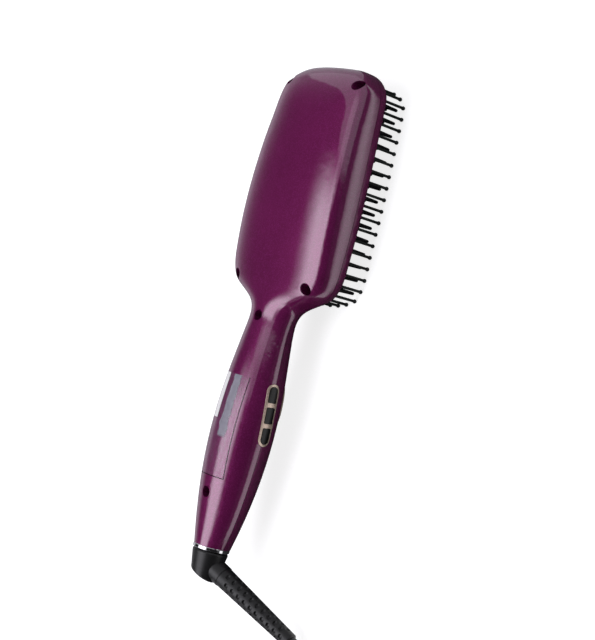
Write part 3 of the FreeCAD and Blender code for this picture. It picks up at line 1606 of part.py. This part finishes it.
os.makedirs(PARTS_FOLDER, exist_ok=True)
for piece in pieces:
    piece.Shape.exportStep(f"{PARTS_FOLDER}/{piece.Label}.step")
print(len(pieces), "pieces written")
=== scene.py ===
import json
import math

import bmesh
import bpy
from mathutils import Matrix, Vector

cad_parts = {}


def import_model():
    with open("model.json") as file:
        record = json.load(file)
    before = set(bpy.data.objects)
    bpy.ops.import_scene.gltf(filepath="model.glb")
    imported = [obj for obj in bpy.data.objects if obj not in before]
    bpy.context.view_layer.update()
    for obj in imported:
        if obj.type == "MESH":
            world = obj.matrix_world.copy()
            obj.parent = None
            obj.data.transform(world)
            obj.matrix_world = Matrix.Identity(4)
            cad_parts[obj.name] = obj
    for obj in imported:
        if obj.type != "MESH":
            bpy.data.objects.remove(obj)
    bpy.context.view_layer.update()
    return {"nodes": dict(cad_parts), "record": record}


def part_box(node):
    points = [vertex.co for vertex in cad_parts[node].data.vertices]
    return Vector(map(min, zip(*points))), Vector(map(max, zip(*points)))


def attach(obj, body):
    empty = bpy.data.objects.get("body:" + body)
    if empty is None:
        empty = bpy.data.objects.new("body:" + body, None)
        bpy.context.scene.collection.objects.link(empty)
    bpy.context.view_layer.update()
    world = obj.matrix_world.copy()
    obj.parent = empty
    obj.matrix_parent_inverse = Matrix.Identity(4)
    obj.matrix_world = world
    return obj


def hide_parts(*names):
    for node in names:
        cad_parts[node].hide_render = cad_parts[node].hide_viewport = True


# An electric heated straightening brush, dressed for the photograph. Lengths are in metres where
# nothing else is said, in the row frame: +X out of the side with the buttons, +Y from the cord to
# the head, +Z up.

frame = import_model()
nodes = frame["nodes"]

MM = 0.001
TURN = 2.0 * math.pi


def add_object(name, data):
    """Adds an object with this data to the scene."""
    thing = bpy.data.objects.new(name, data)
    bpy.context.scene.collection.objects.link(thing)
    return thing


# ---------------------------------------------------------------- camera

LENS = 93.68
SENSOR_WIDTH = 36.0
CLIP = (0.02, 30.0)
CAMERA_PLACE = (0.71640583, 0.00061934, 0.62372022)
# The directions to the camera's right, upwards in its picture, and back from it.
CAMERA_AXES = (
    (0.62967844, 0.25574549, -0.73355252),
    (-0.16219068, 0.96672801, 0.1978159),
    (0.7597363, -0.00558502, 0.65020733),
)


def add_camera():
    """The camera, as it was fitted to the photograph's outline."""
    data = bpy.data.cameras.new("camera")
    data.lens = LENS
    data.sensor_width = SENSOR_WIDTH
    data.clip_start, data.clip_end = CLIP
    camera = add_object("camera", data)
    turn = Matrix(CAMERA_AXES).transposed().to_4x4()
    camera.matrix_world = Matrix.Translation(CAMERA_PLACE) @ turn
    bpy.context.scene.camera = camera


add_camera()


# ---------------------------------------------------------------- node trees

# Sockets of the mix node when it mixes colours.
MIX_FACTOR, MIX_FIRST, MIX_SECOND, MIX_RESULT = 0, 6, 7, 2
# Most of a noise's values lie in this span.
NOISE_SPAN = (0.3, 0.7)


class Nodes:
    """A node tree with short ways to add to it. A value is a number, a colour or a socket."""

    def __init__(self, tree):
        self.tree = tree
        self.tree.nodes.clear()

    def add(self, kind, **settings):
        node = self.tree.nodes.new(kind)
        for key, value in settings.items():
            setattr(node, key, value)
        return node

    def feed(self, value, target):
        """Joins a socket to the target socket, or sets that to a plain value."""
        if hasattr(value, "links"):
            self.tree.links.new(value, target)
        else:
            target.default_value = value

    def maths(self, operation, first, second=0.0):
        node = self.add("ShaderNodeMath", operation=operation)
        self.feed(first, node.inputs[0])
        self.feed(second, node.inputs[1])
        return node.outputs[0]

    def product(self, *values):
        total = values[0]
        for value in values[1:]:
            total = self.maths("MULTIPLY", total, value)
        return total

    def ramp(self, source, start, end, low=0.0, high=1.0, form="LINEAR"):
        """Goes from `low` to `high` while the source goes from `start` to `end`."""
        node = self.add("ShaderNodeMapRange", interpolation_type=form)
        limits = {"From Min": start, "From Max": end, "To Min": low, "To Max": high}
        for name, value in limits.items():
            node.inputs[name].default_value = value
        self.feed(source, node.inputs["Value"])
        return node.outputs[0]

    def blend(self, factor, first, second):
        """A colour between two, each given as red, green and blue or as a socket."""
        node = self.add("ShaderNodeMix", data_type="RGBA")
        self.feed(factor, node.inputs[MIX_FACTOR])
        for place, value in ((MIX_FIRST, first), (MIX_SECOND, second)):
            self.feed(value if hasattr(value, "links") else (*value, 1.0), node.inputs[place])
        return node.outputs[MIX_RESULT]

    def axes(self, place):
        """The three parts of a vector socket."""
        split = self.add("ShaderNodeSeparateXYZ")
        self.feed(place, split.inputs[0])
        return tuple(split.outputs)


class Surface(Nodes):
    """A material with its principled shader, in the coordinates of its piece."""

    def __init__(self, name):
        self.material = bpy.data.materials.new(name)
        self.material.use_nodes = True
        super().__init__(self.material.node_tree)
        self.output = self.add("ShaderNodeOutputMaterial")
        self.shader = self.add("ShaderNodeBsdfPrincipled")
        self.feed(self.shader.outputs[0], self.output.inputs[0])
        self.place = self.add("ShaderNodeTexCoord").outputs["Object"]

    def set(self, **values):
        """Feeds the shader's inputs, named with _ for a space."""
        for key, value in values.items():
            self.feed(value, self.shader.inputs[key.replace("_", " ")])

    def noise(self, scale, detail=4.0, roughness=0.55, stretch=(1.0, 1.0, 1.0)):
        """Noise with `scale` features to the metre, drawn out by `stretch`."""
        mapping = self.add("ShaderNodeMapping")
        mapping.inputs["Scale"].default_value = stretch
        self.feed(self.place, mapping.inputs["Vector"])
        node = self.add("ShaderNodeTexNoise")
        for name, value in {"Scale": scale, "Detail": detail, "Roughness": roughness}.items():
            node.inputs[name].default_value = value
        self.feed(mapping.outputs[0], node.inputs["Vector"])
        return node.outputs[0]

    def spread(self, noise, low=0.0, high=1.0):
        """Goes from `low` to `high` over the usual span of a noise."""
        return self.ramp(noise, *NOISE_SPAN, low, high)

    def bump(self, height, strength, depth):
        node = self.add("ShaderNodeBump")
        node.inputs["Strength"].default_value = strength
        node.inputs["Distance"].default_value = depth
        self.feed(height, node.inputs["Height"])
        return node.outputs[0]


# ---------------------------------------------------------------- materials

PATCHES_SCALE = 60.0
PATCHES_SHARE, GRAIN_SHARE = 0.6, 0.4
GRAIN_DEPTH = 0.05 * MM


def moulding(name, tones, roughness, grain=700.0, strength=0.15, stretch=(1.0, 1.0, 1.0),
             **constants):
    """Moulded, coated or plated surface: slow colour change, uneven gloss and a fine grain."""
    surface = Surface(name)
    slow = surface.noise(PATCHES_SCALE, detail=3.0)
    fine = surface.noise(grain, detail=5.0, roughness=0.6, stretch=stretch)
    mixed = surface.maths("ADD", surface.product(slow, PATCHES_SHARE),
                          surface.product(fine, GRAIN_SHARE))
    surface.set(
        Base_Color=surface.blend(surface.spread(mixed), *tones),
        Roughness=surface.spread(fine, *roughness),
        Normal=surface.bump(fine, strength, GRAIN_DEPTH),
        **constants,
    )
    return surface.material


PLUM_TONES = ((0.132, 0.005, 0.064), (0.163, 0.0075, 0.081))
FLAKE_TONE = (0.27, 0.023, 0.165)
FLAKE_SCALE = 2600.0


def pearl_plum():
    """Pearlescent lacquer: deep plum with fine flakes in it, under a slightly wavy clear coat."""
    surface = Surface("pearl_plum")
    body = surface.blend(surface.spread(surface.noise(scale=28.0, detail=3.0)), *PLUM_TONES)
    flakes = surface.add("ShaderNodeTexVoronoi")
    flakes.inputs["Scale"].default_value = FLAKE_SCALE
    surface.feed(surface.place, flakes.inputs["Vector"])
    shine = surface.add("ShaderNodeSeparateColor")
    surface.feed(flakes.outputs["Color"], shine.inputs[0])
    glint = surface.ramp(shine.outputs[0], start=0.55, end=1.0, low=0.0, high=0.55)
    grain = surface.noise(scale=1500.0, detail=2.0)
    wave = surface.noise(scale=240.0, detail=2.0)
    surface.set(
        Base_Color=surface.blend(glint, body, FLAKE_TONE),
        Roughness=surface.spread(surface.noise(scale=900.0, detail=3.0), low=0.34, high=0.42),
        Metallic=0.35,
        Specular_IOR_Level=0.15,
        Normal=surface.bump(grain, strength=0.06, depth=0.02 * MM),
        Coat_Weight=1.0,
        Coat_Roughness=0.05,
        Coat_IOR=1.8,
        Coat_Normal=surface.bump(wave, strength=0.05, depth=0.2 * MM),
    )
    return surface.material


# The film's marks: the white panel reaches to here across the part and back along it.
PANEL_SIDE, PANEL_BACK = -4.6 * MM, -57.5 * MM
# The band of painted sheen, a grey-blue reflection painted onto the film: how far its middle
# wanders, how it fades at its sides and where it begins.
SHEEN_WANDER = (-3.5 * MM, -1.7 * MM)
SHEEN_FADE = (2.4 * MM, 3.4 * MM)
SHEEN_START = (-67.5 * MM, -66.0 * MM)
# The cut edges look dark beyond these lines.
EDGE_SIDE, EDGE_BACK = 9.8 * MM, -89.1 * MM
# The film's faint tint, which is also the colour of the painted sheen where that covers half the
# base.
FILM_AND_SHEEN_TONES = ((0.36, 0.36, 0.42), (0.44, 0.44, 0.5))
PANEL_TONE = (0.8, 0.79, 0.78)
EDGE_TONE = (0.03, 0.004, 0.018)
SHEEN_COVER, EDGE_COVER = 0.5, 0.5


def clear_film():
    """Clear film with a blank white panel in one corner, a grey band of painted sheen and dark cut
    edges.
    """
    surface = Surface("clear_film")
    across, along, _ = surface.axes(surface.place)
    haze = surface.noise(scale=300.0)
    panel = surface.product(surface.maths("LESS_THAN", across, PANEL_SIDE),
                            surface.maths("GREATER_THAN", along, PANEL_BACK))
    # Painted sheen: a wandering grey-blue band where the film's tint covers half of the lacquer,
    # standing in for a reflection.
    wander = surface.spread(surface.noise(scale=110.0, detail=2.0), *SHEEN_WANDER)
    aside = surface.maths("ABSOLUTE", surface.maths("ADD", across, wander))
    painted_sheen = surface.product(surface.ramp(aside, *SHEEN_FADE, low=1.0, high=0.0),
                           surface.ramp(along, *SHEEN_START))
    edge = surface.maths("MAXIMUM", surface.maths("GREATER_THAN", across, EDGE_SIDE),
                         surface.maths("LESS_THAN", along, EDGE_BACK))
    tone = surface.blend(panel, surface.blend(surface.spread(haze), *FILM_AND_SHEEN_TONES), PANEL_TONE)
    cover = surface.spread(haze, low=0.02, high=0.05)
    for mark in (surface.product(painted_sheen, SHEEN_COVER), surface.product(edge, EDGE_COVER), panel):
        cover = surface.maths("MAXIMUM", cover, mark)
    surface.set(
        Base_Color=surface.blend(edge, tone, EDGE_TONE),
        Roughness=surface.spread(haze, low=0.16, high=0.26),
        Specular_IOR_Level=0.3,
        Normal=surface.bump(surface.noise(scale=160.0, detail=2.0), strength=0.1, depth=0.1 * MM),
        Alpha=cover,
    )
    return surface.material


# For each slot: the two tones that the surface runs between, its roughness from low to high, and
# what differs from an ordinary moulding.
MOULDINGS = {
    "black_nylon": ((0.02, 0.025, 0.022), (0.03, 0.036, 0.032), (0.3, 0.42), {}),
    "coated_plate": ((0.02, 0.02, 0.022), (0.035, 0.035, 0.038), (0.3, 0.42),
                     {"grain": 1800.0, "Metallic": 0.3}),
    "heater": ((0.55, 0.4, 0.18), (0.66, 0.5, 0.26), (0.5, 0.65), {}),
    "spring_steel": ((0.42, 0.42, 0.43), (0.52, 0.52, 0.53), (0.25, 0.4),
                     {"stretch": (1.0, 0.05, 1.0), "Metallic": 1.0}),
    "mica": ((0.45, 0.36, 0.2), (0.56, 0.47, 0.29), (0.4, 0.6), {"grain": 250.0}),
    "small_metal": ((0.4, 0.38, 0.33), (0.5, 0.48, 0.42), (0.25, 0.4), {"Metallic": 1.0}),
    "sensor": ((0.1, 0.07, 0.05), (0.14, 0.1, 0.075), (0.4, 0.55), {}),
    "screw_steel": ((0.02, 0.02, 0.022), (0.04, 0.04, 0.044), (0.3, 0.5), {"Metallic": 0.8}),
    "champagne_trim": ((0.66, 0.5, 0.39), (0.74, 0.58, 0.46), (0.2, 0.3),
                       {"grain": 1500.0, "strength": 0.05, "Metallic": 0.45, "Coat_Weight": 0.3}),
    "board": ((0.01, 0.075, 0.03), (0.015, 0.1, 0.04), (0.35, 0.5), {"grain": 400.0}),
    "switch": ((0.02, 0.02, 0.02), (0.035, 0.035, 0.035), (0.35, 0.5), {}),
    "dark_lens": ((0.006, 0.006, 0.008), (0.01, 0.01, 0.013), (0.04, 0.08),
                  {"strength": 0.02, "Coat_Weight": 0.6}),
    "display": ((0.02, 0.03, 0.035), (0.035, 0.045, 0.05), (0.4, 0.5), {}),
    "chrome": ((0.72, 0.72, 0.73), (0.78, 0.78, 0.79), (0.03, 0.08),
               {"grain": 900.0, "strength": 0.02, "Metallic": 1.0}),
    "contact_brass": ((0.6, 0.4, 0.12), (0.7, 0.49, 0.18), (0.2, 0.35), {"Metallic": 1.0}),
    "black_button": ((0.004, 0.004, 0.003), (0.007, 0.007, 0.005), (0.1, 0.18),
                     {"strength": 0.04, "Coat_Weight": 0.1, "Specular_IOR_Level": 0.25}),
    "black_satin": ((0.008, 0.008, 0.008), (0.014, 0.014, 0.014), (0.32, 0.42),
                    {"grain": 1100.0, "strength": 0.2, "Specular_IOR_Level": 0.4}),
    "black_rubber": ((0.006, 0.006, 0.006), (0.012, 0.012, 0.012), (0.34, 0.46),
                     {"grain": 1300.0, "strength": 0.25, "Specular_IOR_Level": 0.4}),
    "cord_jacket": ((0.014, 0.014, 0.014), (0.024, 0.024, 0.024), (0.4, 0.5),
                    {"grain": 1300.0, "strength": 0.2}),
    "contact_metal": ((0.62, 0.61, 0.6), (0.72, 0.71, 0.7), (0.14, 0.24), {"Metallic": 1.0}),
}

LOOKS = {"plum_shell": pearl_plum(), "clear_film": clear_film()}
for slot, (dark, pale, gloss, extra) in MOULDINGS.items():
    LOOKS[slot] = moulding(slot, (dark, pale), gloss, **extra)

for entry in frame["record"]["subparts"]:
    node = nodes[entry["node"]]
    node.data.materials.clear()
    node.data.materials.append(LOOKS[entry["material_slot"]])


# ---------------------------------------------------------------- ways to make pieces

def finish_piece(piece, body, look, *replaced):
    """Gives a new piece its look, its body and the CAD nodes that it stands for."""
    piece.data.materials.clear()
    piece.data.materials.append(LOOKS[look])
    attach(piece, body)
    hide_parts(*replaced)
    return piece


def new_mesh(name, shape):
    """Makes a smooth-shaded object of a bmesh, which is freed."""
    mesh = bpy.data.meshes.new(name)
    shape.to_mesh(mesh)
    shape.free()
    mesh.polygons.foreach_set("use_smooth", [True] * len(mesh.polygons))
    return add_object(name, mesh)


def patches(rings):
    """For each patch between two neighbouring rings: its first two corners, then the next two."""
    for first, second in zip(rings, rings[1:]):
        for side in range(len(first)):
            after = (side + 1) % len(first)
            yield first[side], first[after], second[side], second[after]


# ---------------------------------------------------------------- bristles and teeth

# Vertices nearer to each other than this, seen from above, belong to one pin.
PIN_REACH = 3.2 * MM

# Radii of a ball bristle, and how far below its root the wider foot ends.
BALL = 1.2 * MM
SHAFT = 0.8 * MM
FOOT_TOP, FOOT_LOW = 1.0 * MM, 0.9 * MM
FOOT_LOW_DROP, FOOT_DROP = 1.2 * MM, 5.0 * MM
SHAFT_END_ABOVE_BALL = 0.5 * MM
BALL_STEPS = 8
BALL_LAST_ANGLE = math.radians(168.0)
BRISTLE_SIDES = 14

# Radii of a heated tooth.
TOOTH_BASE = 1.5 * MM
TOOTH_END = 0.92 * MM
TOOTH_TIP_STEPS = 5
TOOTH_TIP_STEP = 15.0
TOOTH_SIDES = 12


def pin_places(node):
    """Middle of each pin of a node, seen from above."""
    groups = []
    for vertex in nodes[node].data.vertices:
        point = (nodes[node].matrix_world @ vertex.co).xy
        for group in groups:
            if (group[0] - point).length < PIN_REACH:
                group.append(point)
                break
        else:
            groups.append([point])
    middles = []
    for group in groups:
        xs = [point.x for point in group]
        ys = [point.y for point in group]
        middles.append((0.5 * (min(xs) + max(xs)), 0.5 * (min(ys) + max(ys))))
    return middles


def lathe(shape, profile, middle, sides):
    """Adds a closed turned form about an upright line; the profile runs down from its root."""
    rings = []
    for radius, level in profile:
        rings.append([
            shape.verts.new((
                middle[0] + radius * math.cos(TURN * side / sides),
                middle[1] + radius * math.sin(TURN * side / sides),
                level,
            ))
            for side in range(sides)
        ])
    for upper, upper_after, lower, lower_after in patches(rings):
        shape.faces.new((upper, lower, lower_after, upper_after))
    shape.faces.new(list(rings[0]))
    shape.faces.new(list(reversed(rings[-1])))


def pins(name, node, profile, sides):
    """One piece with a turned pin at each place where the CAD node has one."""
    shape = bmesh.new()
    for middle in pin_places(node):
        lathe(shape, profile, middle, sides)
    bmesh.ops.recalc_face_normals(shape, faces=shape.faces)
    return new_mesh(name, shape)


def bristle_profile():
    """Radius and level down a ball bristle, whose ball stands on the table."""
    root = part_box("cool_bristles")[1][2]
    centre = BALL
    join = math.asin(SHAFT / BALL)
    profile = [
        (FOOT_TOP, root),
        (FOOT_LOW, root - FOOT_LOW_DROP),
        (SHAFT, root - FOOT_DROP),
        (SHAFT, centre + BALL * math.cos(join) + SHAFT_END_ABOVE_BALL),
    ]
    for step in range(BALL_STEPS + 1):
        angle = join + (BALL_LAST_ANGLE - join) * step / BALL_STEPS
        profile.append((BALL * math.sin(angle), centre + BALL * math.cos(angle)))
    return profile


def tooth_profile():
    """Radius and level down a heated tooth, which tapers to a rounded tip."""
    low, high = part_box("heated_teeth")
    root, tip = high[2], low[2]
    profile = [
        (TOOTH_BASE, root),
        (0.5 * (TOOTH_BASE + TOOTH_END), 0.5 * (root + tip)),
        (TOOTH_END, tip + TOOTH_END),
    ]
    for step in range(1, TOOTH_TIP_STEPS + 1):
        angle = math.radians(TOOTH_TIP_STEP * step)
        profile.append((TOOTH_END * math.cos(angle), tip + TOOTH_END * (1.0 - math.sin(angle))))
    return profile


finish_piece(pins("ball_bristles", "cool_bristles", bristle_profile(), BRISTLE_SIDES),
             "brush", "black_nylon", "cool_bristles")
finish_piece(pins("round_teeth", "heated_teeth", tooth_profile(), TOOTH_SIDES),
             "brush", "coated_plate", "heated_teeth")


# ---------------------------------------------------------------- boot

BOOT_END_MM = (60.05, -163.06, 8.32)
BOOT_ROOT = Vector((11.84, -142.46, 24.92)) * MM
BOOT_END = Vector(BOOT_END_MM) * MM
BOOT_ROOT_RADIUS = 5.9 * MM
BOOT_END_RADIUS = 4.3 * MM
BOOT_SIDES = 112
BOOT_STEPS = 190
# The end's rim is rounded over this length, by this much of the radius.
RIM_LENGTH = 0.6 * MM
RIM_DEPTH = 0.5 * MM
# The notches stand in rings of four, each ring turned by half a quarter from the one before.
COLLAR = 3.5 * MM
NOTCH_PITCH = 2.38 * MM
NOTCH_LENGTH = 2.1 * MM
NOTCH_WIDTH = 2.7 * MM
NOTCH_DEPTH = 1.2 * MM
NOTCH_TURN = math.radians(22.0)
NOTCH_POWER = 3
NOTCH_STEEPNESS = 2.2
QUARTER = 0.25 * TURN


def notch_depth(out, turn, radius, length):
    """How deep the boot's surface lies in its staggered notches, which are round-cornered."""
    depth = 0.0
    rows = int((length - COLLAR - NOTCH_LENGTH) / NOTCH_PITCH)
    nearest = round((out - COLLAR - 0.5 * NOTCH_LENGTH) / NOTCH_PITCH)
    for row in range(max(0, nearest - 1), min(rows, nearest + 2)):
        middle = COLLAR + NOTCH_PITCH * row + 0.5 * NOTCH_LENGTH
        first = NOTCH_TURN + 0.5 * QUARTER * (row % 2)
        nearest_turn = first + QUARTER * round((turn - first) / QUARTER)
        beside = abs(2.0 * (turn - nearest_turn) * radius / NOTCH_WIDTH)
        ahead = abs(2.0 * (out - middle) / NOTCH_LENGTH)
        far = ahead ** NOTCH_POWER + beside ** NOTCH_POWER
        depth = max(depth, min(1.0, NOTCH_STEEPNESS * max(0.0, 1.0 - far)))
    return depth * NOTCH_DEPTH


def boot():
    """The cord's flexible boot: a cone with notches and a rounded rim."""
    axis = BOOT_END - BOOT_ROOT
    length = axis.length
    turn_to = Vector((0, 0, 1)).rotation_difference(axis).to_matrix()
    shape = bmesh.new()
    rings = []
    for step in range(BOOT_STEPS + 1):
        out = length * step / BOOT_STEPS
        radius = BOOT_ROOT_RADIUS + (BOOT_END_RADIUS - BOOT_ROOT_RADIUS) * out / length
        rim = RIM_DEPTH * max(0.0, 1.0 - (length - out) / RIM_LENGTH) ** 2
        ring = []
        for side in range(BOOT_SIDES):
            turn = TURN * side / BOOT_SIDES
            reach = radius - notch_depth(out, turn, radius, length) - rim
            point = Vector((reach * math.cos(turn), reach * math.sin(turn), out))
            ring.append(shape.verts.new(BOOT_ROOT + turn_to @ point))
        rings.append(ring)
    for lower, lower_after, upper, upper_after in patches(rings):
        shape.faces.new((lower, lower_after, upper_after, upper))
    shape.faces.new(list(reversed(rings[0])))
    shape.faces.new(list(rings[-1]))
    return new_mesh("flex_boot", shape)


boot_piece = finish_piece(boot(), "cord_side", "black_rubber", "cord_boot")


# ---------------------------------------------------------------- cord

CORD_DIAMETER = 6.5 * MM

# From here to coil_points, lengths are in millimetres and angles in degrees.
CORD_OUT = [BOOT_END_MM, (74.78, -169.36, 3.25), (88.36, -179.59, 3.25)]
CORD_TO_PLUG = [(52.41, -270.01, 10.9), (38.83, -273.4, 7.4), (28.92, -274.79, 6.85)]
COIL_CENTRE = (55.64, -220.42)
# Levels of the coil's two layers, and how much a turn rises where it crosses to the next one.
LOWER_LEVEL, UPPER_LEVEL = 4.47, 10.1
CROSSING_RISE = 0.9
COIL_START = 30.0
STEP_ANGLE = 30.0
STEPS_IN_TURN = 12
STEPS_IN_SHIFT = 3
STEPS_IN_LAST_TURN = 4
# Radius of the cord's line in each turn, from where it arrives: inwards on the floor, then out
# on top.
TURN_RADII = (48.75, 42.25, 35.75, 29.25, 32.5, 39.0, 45.5)
FIRST_UPPER = 4


def coil_points():
    """Control points of the coil's turns, which lie beside and on each other."""
    inside = math.cos(math.radians(0.5 * STEP_ANGLE))
    points = []
    last = len(TURN_RADII) - 1
    for step in range(STEPS_IN_TURN * last + STEPS_IN_LAST_TURN):
        turn, part = divmod(step, STEPS_IN_TURN)
        share = max(0.0, (part - (STEPS_IN_TURN - STEPS_IN_SHIFT)) / STEPS_IN_SHIFT)
        after = min(turn + 1, last)
        radius = TURN_RADII[turn] + (TURN_RADII[after] - TURN_RADII[turn]) * share
        low = LOWER_LEVEL if turn < FIRST_UPPER else UPPER_LEVEL
        high = LOWER_LEVEL if after < FIRST_UPPER else UPPER_LEVEL
        level = low + (high - low) * share
        if turn >= FIRST_UPPER and share > 0.0:
            level += CROSSING_RISE
        angle = math.radians(COIL_START - STEP_ANGLE * step)
        reach = radius / inside
        x = COIL_CENTRE[0] + reach * math.cos(angle)
        y = COIL_CENTRE[1] + reach * math.sin(angle)
        points.append((x, y, level))
    return points


def cord_curve():
    """The whole mains cord as one round spline, from the boot through the coil to the plug."""
    data = bpy.data.curves.new("mains_cord", "CURVE")
    data.dimensions = "3D"
    data.bevel_depth = 0.5 * CORD_DIAMETER
    data.bevel_resolution = 6
    data.resolution_u = 10
    data.use_fill_caps = True
    route = CORD_OUT + coil_points() + CORD_TO_PLUG
    spline = data.splines.new("NURBS")
    spline.points.add(len(route) - 1)
    for point, place in zip(spline.points, route):
        point.co = (place[0] * MM, place[1] * MM, place[2] * MM, 1.0)
    spline.order_u = 3
    spline.use_endpoint_u = True
    spline.use_smooth = True
    return add_object("mains_cord", data)


cord_piece = finish_piece(cord_curve(), "cord_side", "cord_jacket",
                          "cord", "cord_coil", "cord_tail")


# ---------------------------------------------------------------- floor

FLOOR_HALF = 6.0
FLOOR_TONES = ((0.46, 0.46, 0.46), (0.49, 0.49, 0.49))
# Painted shade: the floor's colour as the lacquer reflects it, outside the patch on the near side.
REFLECTED_SHADE_TONE = (0.05, 0.05, 0.05)
# The floor's glow: white to the camera, and also the painted highlight of the patch in
# reflections.
FLOOR_GLOW = 0.8
# The lacquer's reflections of the floor are painted: a pale patch beside the buttons glows only in
# reflections, a painted highlight, and around it the floor's colour in reflections is darkened,
# painted shade where the part's shadow lies. These are the patch's inner edge, how far out that
# moves towards the head, and its outer edge.
PATCH_INNER = (42.0 * MM, 56.0 * MM)
PATCH_SHIFT_ALONG = (-30.0 * MM, 0.0)
PATCH_SHIFT = 19.0 * MM
PATCH_OUTER = (88.0 * MM, 125.0 * MM)
# On the far side of this line the floor's reflections get no painted shade.
FAR_SIDE = -20.0 * MM


def floor():
    """Pale paper that looks white to the camera and still shows the part's shadow; in the
    lacquer's reflections it has a glowing patch, a painted highlight, and painted shade around
    that.
    """
    size = FLOOR_HALF
    mesh = bpy.data.meshes.new("floor")
    mesh.from_pydata([(-size, -size, 0), (size, -size, 0), (size, size, 0), (-size, size, 0)],
                     [], [(0, 1, 2, 3)])
    piece = add_object("floor", mesh)

    paper = Surface("paper")
    across, along, _ = paper.axes(paper.place)
    rays = paper.add("ShaderNodeLightPath").outputs
    seen = paper.maths("MAXIMUM", rays["Is Camera Ray"], rays["Is Transmission Ray"])
    # Painted highlight: a patch of floor that glows only in the lacquer's reflections.
    shift = paper.ramp(along, *PATCH_SHIFT_ALONG, high=PATCH_SHIFT)
    inward = paper.maths("SUBTRACT", across, shift)
    patch = paper.product(paper.ramp(inward, *PATCH_INNER),
                          paper.ramp(across, *PATCH_OUTER, low=1.0, high=0.0))
    mirrored = rays["Is Glossy Ray"]
    shown = paper.maths("MAXIMUM", seen, paper.product(mirrored, patch))
    # Painted shade: in reflections the floor is darkened outside the patch on the near side, where
    # the part's shadow lies.
    lit = paper.maths("MAXIMUM", patch, paper.maths("LESS_THAN", across, FAR_SIDE))
    reflected_shade = paper.product(mirrored, paper.maths("SUBTRACT", 1.0, lit))
    tone = paper.blend(paper.spread(paper.noise(scale=3.0, detail=2.0)), *FLOOR_TONES)
    paper.set(
        Base_Color=paper.blend(reflected_shade, tone, REFLECTED_SHADE_TONE),
        Roughness=paper.spread(paper.noise(scale=400.0), low=0.8, high=0.9),
        Specular_IOR_Level=0.1,
    )
    glow = paper.add("ShaderNodeEmission")
    paper.feed(paper.product(shown, FLOOR_GLOW), glow.inputs["Strength"])
    both = paper.add("ShaderNodeAddShader")
    paper.feed(paper.shader.outputs[0], both.inputs[0])
    paper.feed(glow.outputs[0], both.inputs[1])
    paper.feed(both.outputs[0], paper.output.inputs[0])
    mesh.materials.append(paper.material)


# ---------------------------------------------------------------- studio light

DARK = 0.015
STUDIO_TONE = (0.94, 0.93, 1.0)
WHITE = (1.0, 1.0, 1.0)
LOWEST_RISE = 0.05
SLANT = 0.6
# Each light of the studio: its strength, and its soft edges. An edge goes by one measure of the
# direction, from where the light is out to where it is full. x, y and z are parts of the
# direction; aside and ahead are x and y over z, as on a ceiling; slant is y + 0.6 x.
LIGHTS = {
    "softbox overhead": (3.35, (
        ("aside", -0.85, -0.42), ("aside", 0.5, 0.06),
        ("ahead", -3.0, -1.3), ("ahead", 0.22, 0.0),
    )),
    "pale wall on the far side": (0.75, (("z", 0.5, 0.0), ("x", 0.1, -0.5), ("y", 0.6, 0.2))),
    "dim panel past the head": (0.15, (("y", 0.18, 0.42), ("x", 0.1, -0.25), ("z", 0.85, 0.6))),
    "strip across the ceiling": (0.5, (
        ("aside", -0.12, -0.05), ("aside", 0.9, 0.5),
        ("ahead", 0.04, 0.1), ("ahead", 0.7, 0.4),
    )),
    "room beyond the head": (0.6, (("slant", 0.04, 0.08), ("y", 0.17, 0.23))),
}


def world():
    """A dark studio with soft lights, which is plain white where the camera looks at it."""
    space = bpy.data.worlds.new("studio")
    bpy.context.scene.world = space
    space.use_nodes = True
    studio = Nodes(space.node_tree)
    x, y, z = studio.axes(studio.add("ShaderNodeTexCoord").outputs["Generated"])
    rise = studio.maths("MAXIMUM", z, LOWEST_RISE)
    measures = {
        "x": x, "y": y, "z": z,
        "aside": studio.maths("DIVIDE", x, rise),
        "ahead": studio.maths("DIVIDE", y, rise),
        "slant": studio.maths("ADD", y, studio.product(x, SLANT)),
    }
    strength = DARK
    for full, edges in LIGHTS.values():
        ramps = [studio.ramp(measures[name], out, whole, form="SMOOTHSTEP")
                 for name, out, whole in edges]
        strength = studio.maths("ADD", studio.product(*ramps, full), strength)
    seen = studio.add("ShaderNodeLightPath").outputs["Is Camera Ray"]
    unseen = studio.maths("SUBTRACT", 1.0, seen)
    glow = studio.add("ShaderNodeBackground")
    studio.feed(studio.blend(seen, STUDIO_TONE, WHITE), glow.inputs["Color"])
    studio.feed(studio.maths("MAXIMUM", studio.product(strength, unseen), seen),
                glow.inputs["Strength"])
    output = studio.add("ShaderNodeOutputWorld")
    studio.feed(glow.outputs[0], output.inputs[0])


floor()
world()
bpy.context.scene.view_settings.view_transform = "Standard"
